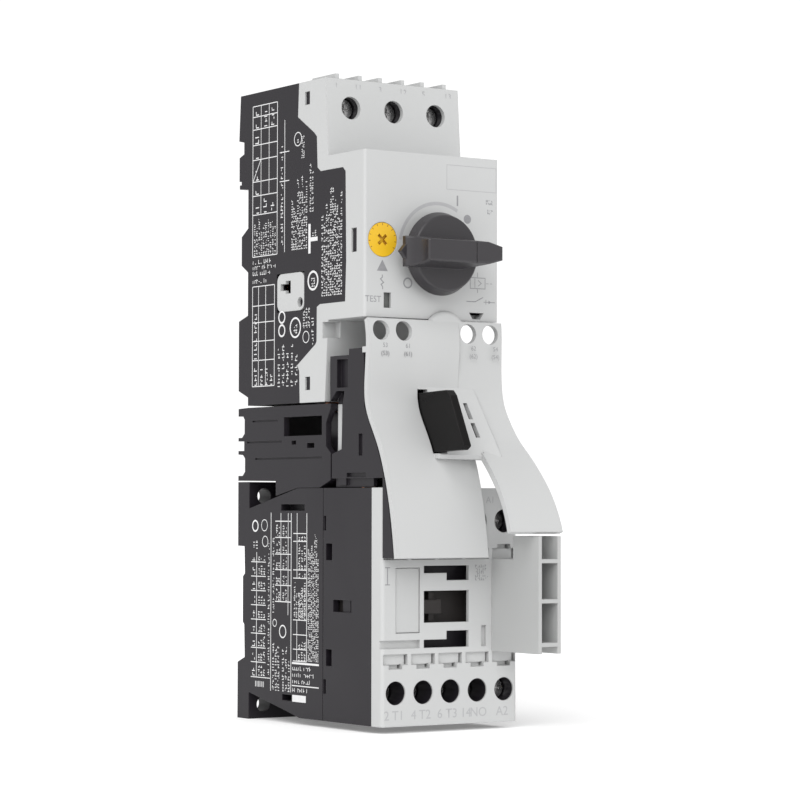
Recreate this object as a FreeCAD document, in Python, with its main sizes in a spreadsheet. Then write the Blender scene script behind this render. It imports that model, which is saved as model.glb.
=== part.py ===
import FreeCAD, Part
import os
import Sketcher
from FreeCAD import Placement, Rotation, Vector

# A DIN-rail motor starter, 45 mm wide: a motor protective circuit breaker on top, a contactor
# below, a mechanical adapter and a plug-in link module joining the two.
# Row frame: X to the right, Z up, -Y towards the person at the panel. The origin is the middle of
# the 35 mm rail on the plane that the breaker seats on. "Depth" below is the distance forward
# from the wall plane of the contactor, so y = seat - depth.

os.makedirs("parts", exist_ok=True)
doc = FreeCAD.newDocument("motor_starter")
sheet = doc.addObject("Spreadsheet::Sheet", "Sizes")


class Size:
    """A length that knows the spreadsheet expression it comes from."""

    def __init__(self, value, text):
        self.value = value
        self.text = text

    def __add__(self, other):
        other = size_of(other)
        return Size(self.value + other.value, "(%s + %s)" % (self.text, other.text))

    def __radd__(self, other):
        return size_of(other) + self

    def __sub__(self, other):
        other = size_of(other)
        return Size(self.value - other.value, "(%s - %s)" % (self.text, other.text))

    def __rsub__(self, other):
        return size_of(other) - self

    def __mul__(self, factor):
        return Size(self.value * factor, "(%s * %s)" % (self.text, factor))

    __rmul__ = __mul__

    def __truediv__(self, divisor):
        return Size(self.value / divisor, "(%s / %s)" % (self.text, divisor))

    def __neg__(self):
        return Size(-self.value, "(-%s)" % self.text)


def size_of(number):
    """Plain numbers join Size arithmetic as constants."""
    if isinstance(number, Size):
        return number
    return Size(float(number), "(%s)" % float(number))


class Named:
    """Holder of the driving dimensions by name."""


dim = Named()
rows = []


def sizes(**values):
    """Write driving dimensions into the sheet, one aliased cell each."""
    for name, value in values.items():
        rows.append(name)
        cell = "B%d" % len(rows)
        sheet.set("A%d" % len(rows), name)
        sheet.set(cell, str(value))
        sheet.setAlias(cell, name)
        setattr(dim, name, Size(value, "Sizes." + name))


# Overall frame: width, the seat of the 35 mm rail and general moulding thicknesses.
sizes(width=45.0, seat=5.2, rail_width=35.0, rail_play=0.2, wall=1.8, fit=0.3, thin=1.0)
# Breaker: heights above the rail centre line, depths forward from the wall plane.
sizes(breaker_top=45.3, breaker_bottom=-45.0, block_edge=46.4, block_root=48.0, plate_face=66.1,
      plate_top=23.3, plate_bottom=-22.4, breaker_pitch=14.4, breaker_screw_height=37.2,
      shell_split=32.6, waist_split=42.2, face_split=56.8, cell_floor=9.0)
# Screw holes, screws and clamps of every terminal.
sizes(access_radius=3.2, shroud_wall=0.5, head_radius=2.85, shank_radius=1.6, head_length=2.2, screw_length=8.5)
# Knob, current dial and test slot on the breaker's front plate.
sizes(knob_height=-4.6, knob_radius=11.5, knob_rim=10.4, knob_back=70.0, knob_front=73.2,
      hub_radius=8.6, hub_back=66.5, handle_front=81.0, handle_back=71.0, handle_reach=13.2, handle_foot=8.3, handle_crest=6.0,
      shaft_radius=3.0, shaft_play=0.05, dial_x=-16.5, dial_height=-1.2, dial_radius=4.7,
      spindle_radius=1.8, test_x=-14.9, test_height=-17.7)
# Adapter between the two devices.
sizes(adapter_top=-45.6, adapter_bottom=-66.6, adapter_front=49.5, adapter_waist=47.1)
# Contactor: mounting plate, shells and the grid of five terminal columns.
sizes(contactor_axis=-101.0, base_half=34.0, body_half=32.1, plate_depth=6.4, housing_split=46.0,
      shell_front=70.0, face_depth=75.0, pitch=9.0, terminal_rise=23.1, screw_span_x=35.0,
      screw_span_z=60.0, mount_hole=2.25, coil_rise=2.7)
# Link module and its curved cover.
sizes(cover_top=-22.75, cover_face=67.6, cover_skin=1.6, apron_bottom=-87.8, apron_right=7.5,
      wing_left=5.0, wing_bottom=-80.8, port_radius=2.7, port_height=-26.1, inner_port_x=11.0,
      outer_port_x=18.5, dome_radius=7.0, lever_x=-5.8, lever_width=2.4)
# Cable guide on the contactor's face.
sizes(guide_left=13.8, guide_right=21.3, guide_front=96.5, guide_top=-81.9, guide_bottom=-113.6,
      guide_wall=1.1, guide_step=9.9)
doc.recompute()

half = dim.width / 2


def bind(thing, prop, size):
    """Tie a property to the sheet, or set it when the size is a plain number."""
    thing.setExpression(prop, size_of(size).text)


def y_at(depth):
    """Depth forward from the wall plane becomes a Y coordinate."""
    return dim.seat - depth


def name_tool(kind):
    return "%s_%03d" % (kind, len(doc.Objects))


def place(thing, x, y, z, rotation=None):
    """Put an object at a bound position."""
    if rotation is not None:
        thing.Placement = Placement(Vector(0, 0, 0), rotation)
    bind(thing, "Placement.Base.x", x)
    bind(thing, "Placement.Base.y", y)
    bind(thing, "Placement.Base.z", z)
    return thing


def block(x, depth, z):
    """A box between two values along X, two depths and two heights."""
    solid = doc.addObject("Part::Box", name_tool("Block"))
    bind(solid, "Length", size_of(x[1]) - x[0])
    bind(solid, "Width", size_of(depth[1]) - depth[0])
    bind(solid, "Height", size_of(z[1]) - z[0])
    return place(solid, x[0], y_at(depth[1]), z[0])


FORWARD = Rotation(Vector(1, 0, 0), 90)
UPWARD = Rotation()
RIGHTWARD = Rotation(Vector(0, 1, 0), 90)


def rod(radius, x, depth, z, length, turn=FORWARD):
    """A cylinder that starts at a point and runs forward, up or to the right."""
    solid = doc.addObject("Part::Cylinder", name_tool("Rod"))
    bind(solid, "Radius", radius)
    bind(solid, "Height", length)
    return place(solid, x, y_at(depth), z, turn)


def taper(radius, end_radius, x, depth, z, length, turn=FORWARD):
    """A cone frustum that starts at a point and runs forward."""
    solid = doc.addObject("Part::Cone", name_tool("Taper"))
    bind(solid, "Radius1", radius)
    bind(solid, "Radius2", end_radius)
    bind(solid, "Height", length)
    return place(solid, x, y_at(depth), z, turn)


def prism(plane, outline, start, end):
    """Pad a polygon. Side outlines are (depth, height) padded along X, front outlines are
    (x, height) padded forward in depth."""
    body = doc.addObject("PartDesign::Body", name_tool("Prism"))
    sketch = body.newObject("Sketcher::SketchObject", name_tool("Outline"))
    role = {"side": "YZ_Plane", "front": "XZ_Plane"}[plane]
    origin = [item for item in body.Origin.OriginFeatures if item.Role == role][0]
    sketch.AttachmentSupport = [(origin, "")]
    sketch.MapMode = "FlatFace"
    corners = [(y_at(a) if plane == "side" else size_of(a), size_of(b)) for a, b in outline]
    points = [Vector(a.value, b.value, 0) for a, b in corners]
    for number, point in enumerate(points):
        sketch.addGeometry(Part.LineSegment(point, points[(number + 1) % len(points)]), False)
    for number in range(len(points)):
        following = (number + 1) % len(points)
        sketch.addConstraint(Sketcher.Constraint("Coincident", number, 2, following, 1))
    for number, (across, up) in enumerate(corners):
        for kind, value in (("DistanceX", across), ("DistanceY", up)):
            index = sketch.addConstraint(
                Sketcher.Constraint(kind, -1, 1, number, 1, value.value))
            sketch.setExpression("Constraints[%d]" % index, value.text)
    pad = body.newObject("PartDesign::Pad", name_tool("Pad"))
    pad.Profile = sketch
    bind(pad, "Length", size_of(end) - start)
    body.Tip = pad
    if plane == "side":
        return place(body, start, 0, 0)
    return place(body, 0, y_at(start), 0)


def together(solids):
    """Fuse solids into one piece."""
    if len(solids) == 1:
        return solids[0]
    fusion = doc.addObject("Part::MultiFuse", name_tool("Fusion"))
    fusion.Shapes = solids
    return fusion


def cut(base, tools):
    """Take tools away from a solid."""
    result = doc.addObject("Part::Cut", name_tool("Cut"))
    result.Base = base
    result.Tool = together(tools)
    return result


def group(solids):
    """Identical pieces that share one node, left as separate solids."""
    pieces = doc.addObject("Part::Compound", name_tool("Group"))
    pieces.Links = solids
    return pieces


def rounded(solid, radius, wanted):
    """Fillet the edges that a test on the edge picks."""
    doc.recompute()
    edges = [number for number, edge in enumerate(solid.Shape.Edges, 1) if wanted(edge)]
    fillet = doc.addObject("Part::Fillet", name_tool("Fillet"))
    fillet.Base = solid
    fillet.Edges = [(number, radius, radius) for number in edges]
    return fillet


def edge_along(edge, axis, shortest=0.5):
    """True for a straight edge that runs along the given axis."""
    if edge.Curve.TypeId != "Part::GeomLine" or edge.Length < shortest:
        return False
    return edge.tangentAt(edge.FirstParameter).cross(axis).Length < 1e-6


subparts = {}


def keep(label, solid):
    """Name a finished sub-part."""
    solid.Label = label
    subparts[label] = solid
    return solid


X_AXIS, Y_AXIS, Z_AXIS = Vector(1, 0, 0), Vector(0, 1, 0), Vector(0, 0, 1)
full = (-half, half)
inner = (-half + dim.wall, half - dim.wall)
breaker_columns = [-dim.breaker_pitch, size_of(0), dim.breaker_pitch]
contactor_columns = [dim.pitch * step for step in (-2, -1, 0, 1, 2)]
main_columns = contactor_columns[:3]
contact_columns = contactor_columns[:4]
reach = dim.rail_width / 2 + dim.rail_play


# ---- Terminals: screw and saddle clamp, the same idea at every terminal ----

def terminal_screw(x, depth, z):
    """A cheese-head screw seen through its access hole, with a cross slot in its head."""
    slot_width, slot_depth = 0.7, 1.2
    head = rod(dim.head_radius, x, depth, z, dim.head_length)
    shank = rod(dim.shank_radius, x, depth - dim.screw_length + dim.head_length, z,
                dim.screw_length - dim.head_length)
    top = depth + dim.head_length
    upright = block((x - slot_width / 2, x + slot_width / 2), (top - slot_depth, top + 1),
                    (z - dim.shank_radius, z + dim.shank_radius))
    level = block((x - dim.shank_radius, x + dim.shank_radius), (top - slot_depth, top + 1),
                  (z - slot_width / 2, z + slot_width / 2))
    return cut(together([head, shank]), [upright, level])


def saddle(x, depth, z, wide, tall):
    """The clamp plate that the screw draws onto the wire, holed for the screw."""
    plate = block((x - wide / 2, x + wide / 2), (depth, depth + dim.thin),
                  (z - tall / 2, z + tall / 2))
    hole = rod(dim.shank_radius + dim.shaft_play, x, depth - 1, z, dim.thin + 2)
    return cut(plate, [hole])


# ---- Breaker: black rear shell and light front shell, split along the line on its side ----

split_line = [(dim.shell_split, dim.breaker_top), (dim.shell_split - 0.5, 35.7), (40.7, 30.4),
              (dim.waist_split - 0.2, 29.2), (dim.waist_split + 0.2, 20.5), (44.0, 19.3),
              (dim.face_split - 1.4, 19.3), (dim.face_split - 0.1, 18.1), (dim.face_split + 0.3, -6.5),
              (dim.face_split - 0.2, -17.8), (43.8, -17.8), (dim.waist_split, -18.5),
              (dim.waist_split - 0.1, -28.1), (41.5, -28.9), (dim.shell_split - 0.5, -34.3),
              (dim.shell_split + 0.5, -36.1), (dim.shell_split + 0.8, dim.breaker_bottom)]
cell = (-27.5, 27.5)
cell_front = dim.face_split + 3
# Snap windows in the front shell's side walls: bottom, top, rear edge, front edge, and where the
# base's spring arm starts.
snap_windows = [(38.7, 42.4, 35.7, 38.3, 31.5), (-41.5, -37.8, 36.2, 38.8, 31.5),
                (-4.5, 2.1, 59.7, 62.3, 55.0)]


def terminal_channels():
    """Wire channels from the top and bottom faces into the contact cell, and screw holes."""
    tools = []
    for x in breaker_columns:
        for near, far in ((27.0, dim.breaker_top + 1), (dim.breaker_bottom - 1, -27.0)):
            tools.append(block((x - 4.4, x + 4.4), (34.0, 43.6), (near, far)))
        for side in (1, -1):
            tools.append(rod(dim.access_radius, x, 42.0, dim.breaker_screw_height * side, 8.0))
            tools.append(rod(dim.access_radius + dim.shroud_wall + dim.shaft_play, x, 41.0,
                             dim.breaker_screw_height * side, 4.5))
    return tools


def breaker_base():
    """Rear shell: hooks over the rail's top flange, takes the sprung clip at its lower edge."""
    back = [(5.4, dim.breaker_bottom), (5.4, -42.6), (0.2, -40.6), (0.2, -27.0), (0.2, -20.4),
            (dim.seat, -reach - 1.2), (dim.seat, -6.4), (1.6, -4.2), (1.6, 4.1),
            (dim.seat, 6.4), (dim.seat, reach), (0.4, reach + 0.4), (0.4, reach + 1.6),
            (1.4, reach + 1.6), (1.4, reach + 2.6), (0.2, 20.4), (0.2, 27.3), (2.8, 28.2),
            (2.8, 31.6), (0.0, 32.2), (0.8, dim.breaker_top)]
    shell = prism("side", back + split_line, -half, half)
    cavity = block(inner, (dim.cell_floor, cell_front), cell)
    clip_slot = block((-7.4, 7.4), (-1, 4.2), (dim.breaker_bottom - 1, -dim.rail_width / 2))
    spring_pocket = block((-2.0, 2.0), (2.0, 7.0), (-39.9, -29.4))
    window = block((-half - 1, -half + 1.2), (21.0, 35.6), (-19.0, -8.0))
    key_way = block((-half - 1, -half + 3.0), (22.8, 28.3), (-13.8, -10.2))
    body = cut(shell, [cavity, clip_slot, spring_pocket, window, key_way] + terminal_channels())
    hook = block((-9.0, 9.0), (0.6, 3.8), (dim.rail_width / 2 - 1.6, dim.rail_width / 2 + 1.5))
    ears = []
    for ear in ((-half + 1.0, -19.0), (19.0, half - 1.0)):
        lug = block(ear, (11.4, 17.4), (14.0, 20.0))
        ears.append(cut(lug, [rod(1.0 + dim.shaft_play, -half, 14.4, 17.0, dim.width, RIGHTWARD)]))
    noses = []
    for bottom, top, near, far, root in snap_windows:
        for arm, nose in (((-half + 1.2, -half + 1.9), (-half + 0.5, -half + 1.9)),
                          ((half - 1.9, half - 1.2), (half - 1.9, half - 0.5))):
            noses.append(block(arm, (root, far - 0.2), (bottom + 0.1, top - 0.1)))
            noses.append(block(nose, (near + 0.1, far - 0.1), (bottom + 0.1, top - 0.1)))
    return together([body, hook] + ears + noses)


def breaker_cover():
    """Front shell: terminal blocks above and below, the raised front plate between them."""
    front = [(dim.block_edge, dim.breaker_bottom), (dim.block_root, dim.plate_bottom),
             (dim.plate_face, dim.plate_bottom), (dim.plate_face, dim.plate_top),
             (dim.block_root, dim.plate_top), (dim.block_edge, dim.breaker_top)]
    shell = prism("side", split_line + front, -half, half)
    tools = [block(inner, (dim.cell_floor, 45.0), cell),
             block(inner, (40.0, dim.plate_face - dim.wall), (-20.5, 21.4))]
    tools += terminal_channels()
    tools.append(rod(dim.shaft_radius + dim.shaft_play, 0, 60.0, dim.knob_height, 8.0))
    tools.append(rod(dim.dial_radius + dim.shaft_play * 2, dim.dial_x, dim.plate_face - 1.3,
                     dim.dial_height, 2.0))
    tools.append(rod(dim.spindle_radius + dim.shaft_play, dim.dial_x, 60.0, dim.dial_height, 8.0))
    tools.append(block((dim.test_x - 1.2, dim.test_x + 1.2), (60.0, 68.0),
                       (dim.test_height - 2.1, dim.test_height + 2.1)))
    tools.append(block((dim.test_x - 4.1, dim.test_x + 4.3), (60.0, dim.plate_face - 0.9),
                       (dim.test_height - 2.6, dim.test_height + 2.6)))
    tools.append(block((-half - 1, -18.3), (45.2, 49.0), (-27.4, -22.9)))
    tools.append(prism("front", [(12.5, -20.0), (17.5, -20.0), (16.3, -21.8), (13.7, -21.8)],
                       dim.plate_face - 3.5, dim.plate_face + 1))
    for bottom, top, near, far, root in snap_windows:
        for wall_x, arm_x in (((-half - 1, -half + 2.0), (-half + 1.1, -half + 2.0)),
                              ((half - 2.0, half + 1), (half - 2.0, half - 1.1))):
            tools.append(block(wall_x, (near, far), (bottom, top)))
            tools.append(block(arm_x, (root, far), (bottom, top)))
    ribs = [block((x + right_face - 1.2, x + right_face), (34.0, dim.block_edge - 0.4),
                  (dim.breaker_top - 0.5, dim.breaker_top + 1.4))
            for x in breaker_columns for right_face in (-3.4, 4.2)]
    return together([cut(shell, tools)] + ribs)


keep("breaker_base", breaker_base())
keep("breaker_cover", rounded(
    breaker_cover(), 0.8,
    lambda edge: edge_along(edge, Z_AXIS, 40) and abs(edge.CenterOfMass.y) > 60))


def side_port_plate():
    """Light insert in the base's left wall with its T-shaped key hole."""
    plate = block((-half + 0.1, -half + 1.2), (21.1, 35.5), (-18.9, -8.1))
    plate = rounded(plate, 2.4, lambda edge: edge_along(edge, X_AXIS))
    stem = block((-half - 1, -half + 2), (25.6, 28.3), (-13.8, -10.2))
    bar = block((-half - 1, -half + 2), (22.8, 26.0), (-12.9, -11.0))
    notch = rod(1.4, -half - 1, 33.3, -16.6, 3.0, RIGHTWARD)
    return cut(plate, [stem, bar, notch])


keep("side_port_plate", side_port_plate())
for label, side in (("line_terminal", 1), ("load_terminal", -1)):
    height = dim.breaker_screw_height * side
    keep(label + "_screws", group([terminal_screw(x, 40.8, height) for x in breaker_columns]))
    keep(label + "_clamps", group([saddle(x, 39.7, height, 7.4, 8.0) for x in breaker_columns]))


def screw_shroud(x, z):
    """Black tube that lines a screw hole, seated against the front shell's inner face."""
    sleeve = rod(dim.access_radius + dim.shroud_wall, x, 41.4, z, 4.1)
    return cut(sleeve, [rod(dim.access_radius, x, 41.0, z, 5.0)])


keep("screw_shrouds", group([screw_shroud(x, dim.breaker_screw_height * side)
                             for x in breaker_columns for side in (1, -1)]))

# ---- Breaker contacts: fixed blades above and below, one bridge per pole between them ----


def fixed_contact(x, side):
    """Copper strip from the terminal clamp into the contact chamber, with a silver button."""
    tip, root = sorted((8.0 * side, 35.0 * side))
    strip = block((x - 2.6, x + 2.6), (34.1, 35.1), (tip, root))
    button = rod(1.7, x, 33.1, 9.8 * side, 1.0)
    return together([strip, button])


keep("line_contacts", group([fixed_contact(x, 1) for x in breaker_columns]))
keep("load_contacts", group([fixed_contact(x, -1) for x in breaker_columns]))
bridge_back = 28.8


def contact_bridge(x):
    """Moving bridge with a button at each end."""
    bar = block((x - 2.4, x + 2.4), (bridge_back, bridge_back + 1.0), (-11.6, 11.6))
    ends = [rod(1.7, x, bridge_back, 9.8 * side, 1.8) for side in (1, -1)]
    return together([bar] + ends)


keep("breaker_contact_bridges", group([contact_bridge(x) for x in breaker_columns]))


def breaker_contact_carrier():
    """Moulded carrier: a cross bar behind the bridges with a push stem that reaches the shaft."""
    bar = block((-18.6, 18.6), (20.4, 23.4), (-3.0, 3.0))
    posts = [block((x - 2.6, x + 2.6), (20.4, 28.4), (-5.0, 5.0)) for x in breaker_columns]
    wells = [rod(1.9, x, 23.6, 0, 8.0) for x in breaker_columns]
    stem = block((-9.0, -5.4), (20.4, 45.3), (-6.0, -2.0))
    return cut(together([bar, stem] + posts), wells)


keep("breaker_contact_carrier", breaker_contact_carrier())


def coil_spring(radius, wire, pitch, length, x, depth, z, turn):
    """Round-wire compression spring: a circle swept along a helix."""
    helix = Part.makeHelix(pitch, length, radius)
    ring = Part.Wire(Part.makeCircle(wire / 2, Vector(radius, 0, 0), Vector(0, 1, 0)))
    shape = Part.Wire(helix).makePipeShell([ring], True, True)
    spring = doc.addObject("Part::Feature", name_tool("Spring"))
    spring.Shape = shape
    return place(spring, x, y_at(size_of(depth)), z, turn)


keep("breaker_contact_springs", group(
    [coil_spring(1.3, 0.4, 1.0, 4.0, x, 24.1, 0, FORWARD) for x in breaker_columns]))


def arc_splitters():
    """Steel splitter plates above and below the break in every pole."""
    plates = []
    for x in breaker_columns:
        for side in (1, -1):
            for step in range(5):
                height = (15.2 + 2.2 * step) * side
                plates.append(block((x - 4.6, x + 4.6), (22.0, 31.6), (height - 0.4, height + 0.4)))
    return group(plates)


keep("arc_splitter_plates", arc_splitters())

# ---- Breaker releases: bimetals, magnetic coils with plungers, and the trip bar they push ----


def bimetal(x):
    """Bimetal strip standing on a foot that the load current heats."""
    strip = block((x + 3.0, x + 4.0), (12.0, 17.0), (-24.0, 10.0))
    foot = block((x - 1.0, x + 4.0), (12.0, 17.0), (-25.4, -23.6))
    return together([strip, foot])


keep("bimetal_strips", group([bimetal(x) for x in breaker_columns]))


def trip_coil(x):
    """Magnetic release: a short coil on a tube around the plunger."""
    winding = rod(3.0, x - 2.4, 14.4, -21.0, 11.0, UPWARD)
    bore = rod(1.5, x - 2.4, 14.4, -22.0, 14.0, UPWARD)
    return cut(winding, [bore])


keep("magnetic_trip_coils", group([trip_coil(x) for x in breaker_columns]))
for name, x in zip(("left", "middle", "right"), breaker_columns):
    stem = rod(1.4, x - 2.4, 14.4, -19.0, 26.0, UPWARD)
    cap = rod(2.2, x - 2.4, 14.4, 5.0, 2.0, UPWARD)
    keep("trip_plunger_" + name, together([stem, cap]))


def trip_bar():
    """Cross bar over the bimetals and plungers, pivoted at its ends."""
    pivot = rod(1.0, -20.4, 14.4, 17.0, 40.8, RIGHTWARD)
    web = block((-18.7, 18.7), (13.4, 15.4), (12.0, 18.0))
    return together([pivot, web])


keep("trip_bar", trip_bar())


def mechanism_frame():
    """Steel side plates and cross pieces that carry the knob shaft."""
    front = dim.plate_face - dim.wall
    cheeks = [block((x, x + 1.2), (52.0, front), (-14.0, 6.0)) for x in (-11.0, 9.8)]
    bridge = block((-11.0, 11.0), (front - 1.2, front), (-14.0, 6.0))
    bearing = rod(dim.shaft_radius + dim.shaft_play, 0, 60.0, dim.knob_height, 6.0)
    return cut(together(cheeks + [bridge]), [bearing])


keep("mechanism_frame", mechanism_frame())


def knob_shaft():
    """Shaft through the front plate with the switching cam at its inner end."""
    shaft = rod(dim.shaft_radius, 0, 48.0, dim.knob_height, dim.hub_back - 48.0)
    cam = rod(4.6, 0, 48.0, dim.knob_height, 3.0)
    lobe = block((-8.6, 0), (48.0, 51.0), (dim.knob_height - 2, dim.knob_height + 2))
    return together([shaft, cam, lobe])


keep("knob_shaft", knob_shaft())


def rotary_knob():
    """Tapered disc on a hub, with a bar handle: scooped pointer end, tapered tongue at the other."""
    centre = dim.knob_height
    hub = rod(dim.hub_radius, 0, dim.hub_back, centre, dim.knob_back - dim.hub_back + 0.5)
    disc = taper(dim.knob_radius, dim.knob_rim, 0, dim.knob_back, centre,
                 dim.knob_front - dim.knob_back)
    disc = rounded(disc, 0.7, lambda edge: edge.CenterOfMass.y < dim.seat.value - 70)
    foot, crest, tip = dim.handle_foot / 2, dim.handle_crest / 2, 1.9
    bar = prism("front", [(-dim.handle_reach, centre - foot), (5.0, centre - foot),
                          (dim.handle_reach + 0.2, centre - tip), (dim.handle_reach + 0.2, centre + tip),
                          (4.4, centre + foot), (-dim.handle_reach, centre + foot)],
                dim.handle_back, dim.handle_front)
    slope = dim.handle_front - 2.0
    shaves = [prism("side", [(dim.knob_front, centre + (foot + 0.01) * side),
                             (dim.handle_front + 1, centre + (crest - 0.2) * side),
                             (dim.handle_front + 1, centre + 9 * side),
                             (dim.knob_front, centre + 9 * side)], -20.0, 20.0)
              for side in (1, -1)]
    undercut = block((10.0, 20.0), (dim.handle_back - 1, dim.knob_front + 1.0),
                     (centre - 6, centre + 6))
    scoop = rod(6.5, -dim.handle_reach - 4.0, dim.handle_front - 3.5, centre - 10, 20.0, UPWARD)
    seam = block((4.4, 4.7), (dim.handle_front - 0.3, dim.handle_front + 1), (centre - 6, centre + 6))
    bar = cut(bar, shaves + [undercut, scoop])
    bar = rounded(bar, 0.6, lambda edge: edge.CenterOfMass.y < dim.seat.value - slope.value)
    pointer = prism("front", [(-dim.handle_reach + 0.5, centre - 2.6),
                              (-dim.handle_reach + 0.5, centre + 2.4),
                              (-dim.handle_reach - 1.6, centre)], dim.handle_back,
                    dim.handle_back + 1.6)
    return together([disc, hub, cut(bar, [seam]), pointer])


keep("rotary_knob", rotary_knob())


def current_dial():
    """Setting dial: flush disc on a spindle, cross recess for a screwdriver."""
    face = dim.plate_face - 0.1
    disc = rod(dim.dial_radius, dim.dial_x, face - 1.1, dim.dial_height, 1.1)
    spindle = rod(dim.spindle_radius, dim.dial_x, 58.0, dim.dial_height, 8.0)
    arms = []
    for turn in (45, -45):
        arm = doc.addObject("Part::Box", name_tool("Recess"))
        arm.Length, arm.Width, arm.Height = 3.6, 1.6, 0.9
        spin = Rotation(Vector(0, 1, 0), turn)
        corner = spin.multVec(Vector(-1.8, 0, -0.45))
        place(arm, dim.dial_x + corner.x, y_at(face + 0.7), dim.dial_height + corner.z, spin)
        arms.append(arm)
    return cut(together([disc, spindle]), arms)


keep("current_dial", current_dial())
keep("dial_cam", cut(rod(4.0, dim.dial_x, 58.2, dim.dial_height, 1.8),
                     [rod(dim.spindle_radius, dim.dial_x, 57.0, dim.dial_height, 5.0),
                      block((dim.dial_x + 2.4, dim.dial_x + 6), (57.0, 62.0), (-8.0, 6.0))]))


def test_slider():
    """Trip slide behind the test slot, pushed sideways with a screwdriver tip."""
    tongue = block((dim.test_x - 0.8, dim.test_x + 0.9), (55.0, 64.1),
                   (dim.test_height - 1.7, dim.test_height + 1.7))
    shutter = block((dim.test_x - 3.6, dim.test_x + 2.4), (64.0, dim.plate_face - 1.1),
                    (dim.test_height - 2.4, dim.test_height + 2.4))
    foot = block((dim.test_x - 2.5, dim.test_x + 2.5), (52.0, 55.0),
                 (dim.test_height - 1.7, dim.test_height + 1.7))
    return together([tongue, foot, shutter])


keep("test_slider", test_slider())


def rail_clip(bottom, top, catch_depth, lug_top):
    """Sprung slider that catches the rail's lower flange from behind; its lug loads the spring."""
    tongue = block((-7.0, 7.0), (0.4, 3.0), (bottom, top))
    catch = block((-7.0, 7.0), (0.4, catch_depth), (top - 1.4, top))
    pry_hole = block((-3.0, 3.0), (-1.0, 6.0), (bottom + 0.8, bottom + 2.0))
    lug = block((-1.5, 1.5), (2.9, 6.0), (lug_top - 1.2, lug_top))
    return cut(together([tongue, catch, lug]), [pry_hole])


def clip_spring(bottom, length):
    """Compression spring standing in the housing's pocket under the clip's lug."""
    return coil_spring(1.1, 0.4, 1.0, length, 0, 4.9, bottom, UPWARD)


keep("breaker_rail_clip",
     rail_clip(dim.breaker_bottom + 0.2, 1.3 - dim.rail_width / 2, 3.8, -30.0))
keep("breaker_clip_spring", clip_spring(-39.6, 8.0))


# ---- Adapter: open frame with side walls, clipped between breaker and contactor ----

def adapter_frame():
    """Side profile padded across, hollowed to a frame: windows in its sides and its back."""
    top, bottom = dim.adapter_top, dim.adapter_bottom
    profile = [(0.2, top - 0.2), (0.2, -48.0), (2.8, -48.0), (3.6, -49.0), (3.6, -53.0), (2.2, -54.2),
               (0.2, -54.2), (0.2, -55.2), (3.4, -55.2), (3.4, -58.0), (0.2, -58.0), (0.2, -59.0),
               (2.8, -59.2), (3.9, -60.2), (3.9, -64.0), (2.6, -65.2), (0.2, -65.2), (0.2, bottom),
               (20.8, bottom), (20.9, -71.0), (32.5, -68.75), (43.9, -68.75),
               (dim.adapter_front, bottom - 0.1), (dim.adapter_front, -59.3),
               (dim.adapter_waist, -57.3), (dim.adapter_waist, -50.9), (dim.adapter_front, -46.8),
               (dim.adapter_front, top), (5.4, top)]
    frame = prism("side", profile, -half, half)
    hollow = [block(inner, (6.0, 60.0), (bottom + 2.0, -47.6)),
              block((-7.6, 7.6), (-1.0, 5.8), (-50.0, top + 1)),
              block((-16.6, 16.6), (29.0, 60.0), (-50.0, top + 1))]
    windows = [block((x, x + 10.5), (-1.0, 8.0), (-58.3, -47.8)) for x in (-20.0, 9.5)]
    for wall_x in ((-half - 1, -half + 3), (half - 3, half + 1)):
        windows.append(block(wall_x, (25.1, 45.0), (-54.2, -48.8)))
        windows.append(block(wall_x, (29.2, 31.6), (-56.6, -55.5)))
        windows.append(block(wall_x, (37.3, 41.1), (-57.7, -56.3)))
    grooves = [block((-half - 1, -half + 0.4), (near, far), (height - 0.25, height + 0.25))
               for near, far, height in ((8.0, 22.0, -49.6), (5.0, 24.0, -55.6), (9.5, 45.0, -60.4))]
    return cut(frame, hollow + windows + grooves)


keep("adapter_frame", adapter_frame())

# ---- Contactor: mounting plate and black rear shell, black front shell, light face ----

axis = dim.contactor_axis
foot, roof = axis - dim.base_half, axis + dim.base_half
low, high = axis - dim.body_half, axis + dim.body_half


def contactor_rear_housing():
    """Rear shell with the mounting plate: four screw holes, rail recess, magnet chamber."""
    side = [(0.2, foot), (dim.plate_depth, foot), (dim.plate_depth, axis - 26.3), (17.9, axis - 28.7),
            (29.4, axis - 31.1), (33.6, low), (dim.housing_split, low), (dim.housing_split, high),
            (32.5, high), (22.4, axis + 29.9), (dim.plate_depth, axis + 26.4),
            (dim.plate_depth, roof), (0.2, roof), (0.2, axis + 15.6), (3.8, axis + 15.5),
            (4.1, axis + 7.7), (3.0, axis + 6.8), (3.0, axis - 6.2), (3.8, axis - 7.0),
            (4.1, axis - 16.4), (0.2, axis - 17.9)]
    shell = prism("side", side, -half, half)
    tools = [block(inner, (8.5, 50.0), (axis - 24.0, axis + 24.0)),
             block((-7.4, 7.4), (-1.0, 3.4), (foot - 1, axis - 16.0)),
             block((-2.0, 2.0), (2.0, 7.0), (axis - 26.2, axis - 18.6))]
    for x in (-dim.screw_span_x / 2, dim.screw_span_x / 2):
        for z in (axis - dim.screw_span_z / 2, axis + dim.screw_span_z / 2):
            tools.append(rod(dim.mount_hole, x, -1.0, z, 9.0))
    for wall_x in ((-half - 1, -half + 3.2), (half - 3.2, half + 1)):
        tools.append(block(wall_x, (23.8, 36.2), (axis + 25.8, axis + 27.6)))
        tools.append(block(wall_x, (24.6, 29.6), (axis - 27.6, axis - 25.9)))
        tools.append(block(wall_x, (-1.0, 2.6), (axis + 12.0, axis + 15.0)))
    for groove_x in ((-half - 1, -half + 0.3), (half - 0.3, half + 1)):
        tools.append(block(groove_x, (dim.housing_split - 0.3, dim.housing_split + 1),
                           (low - 1, high + 1)))
    return cut(shell, tools)


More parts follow.
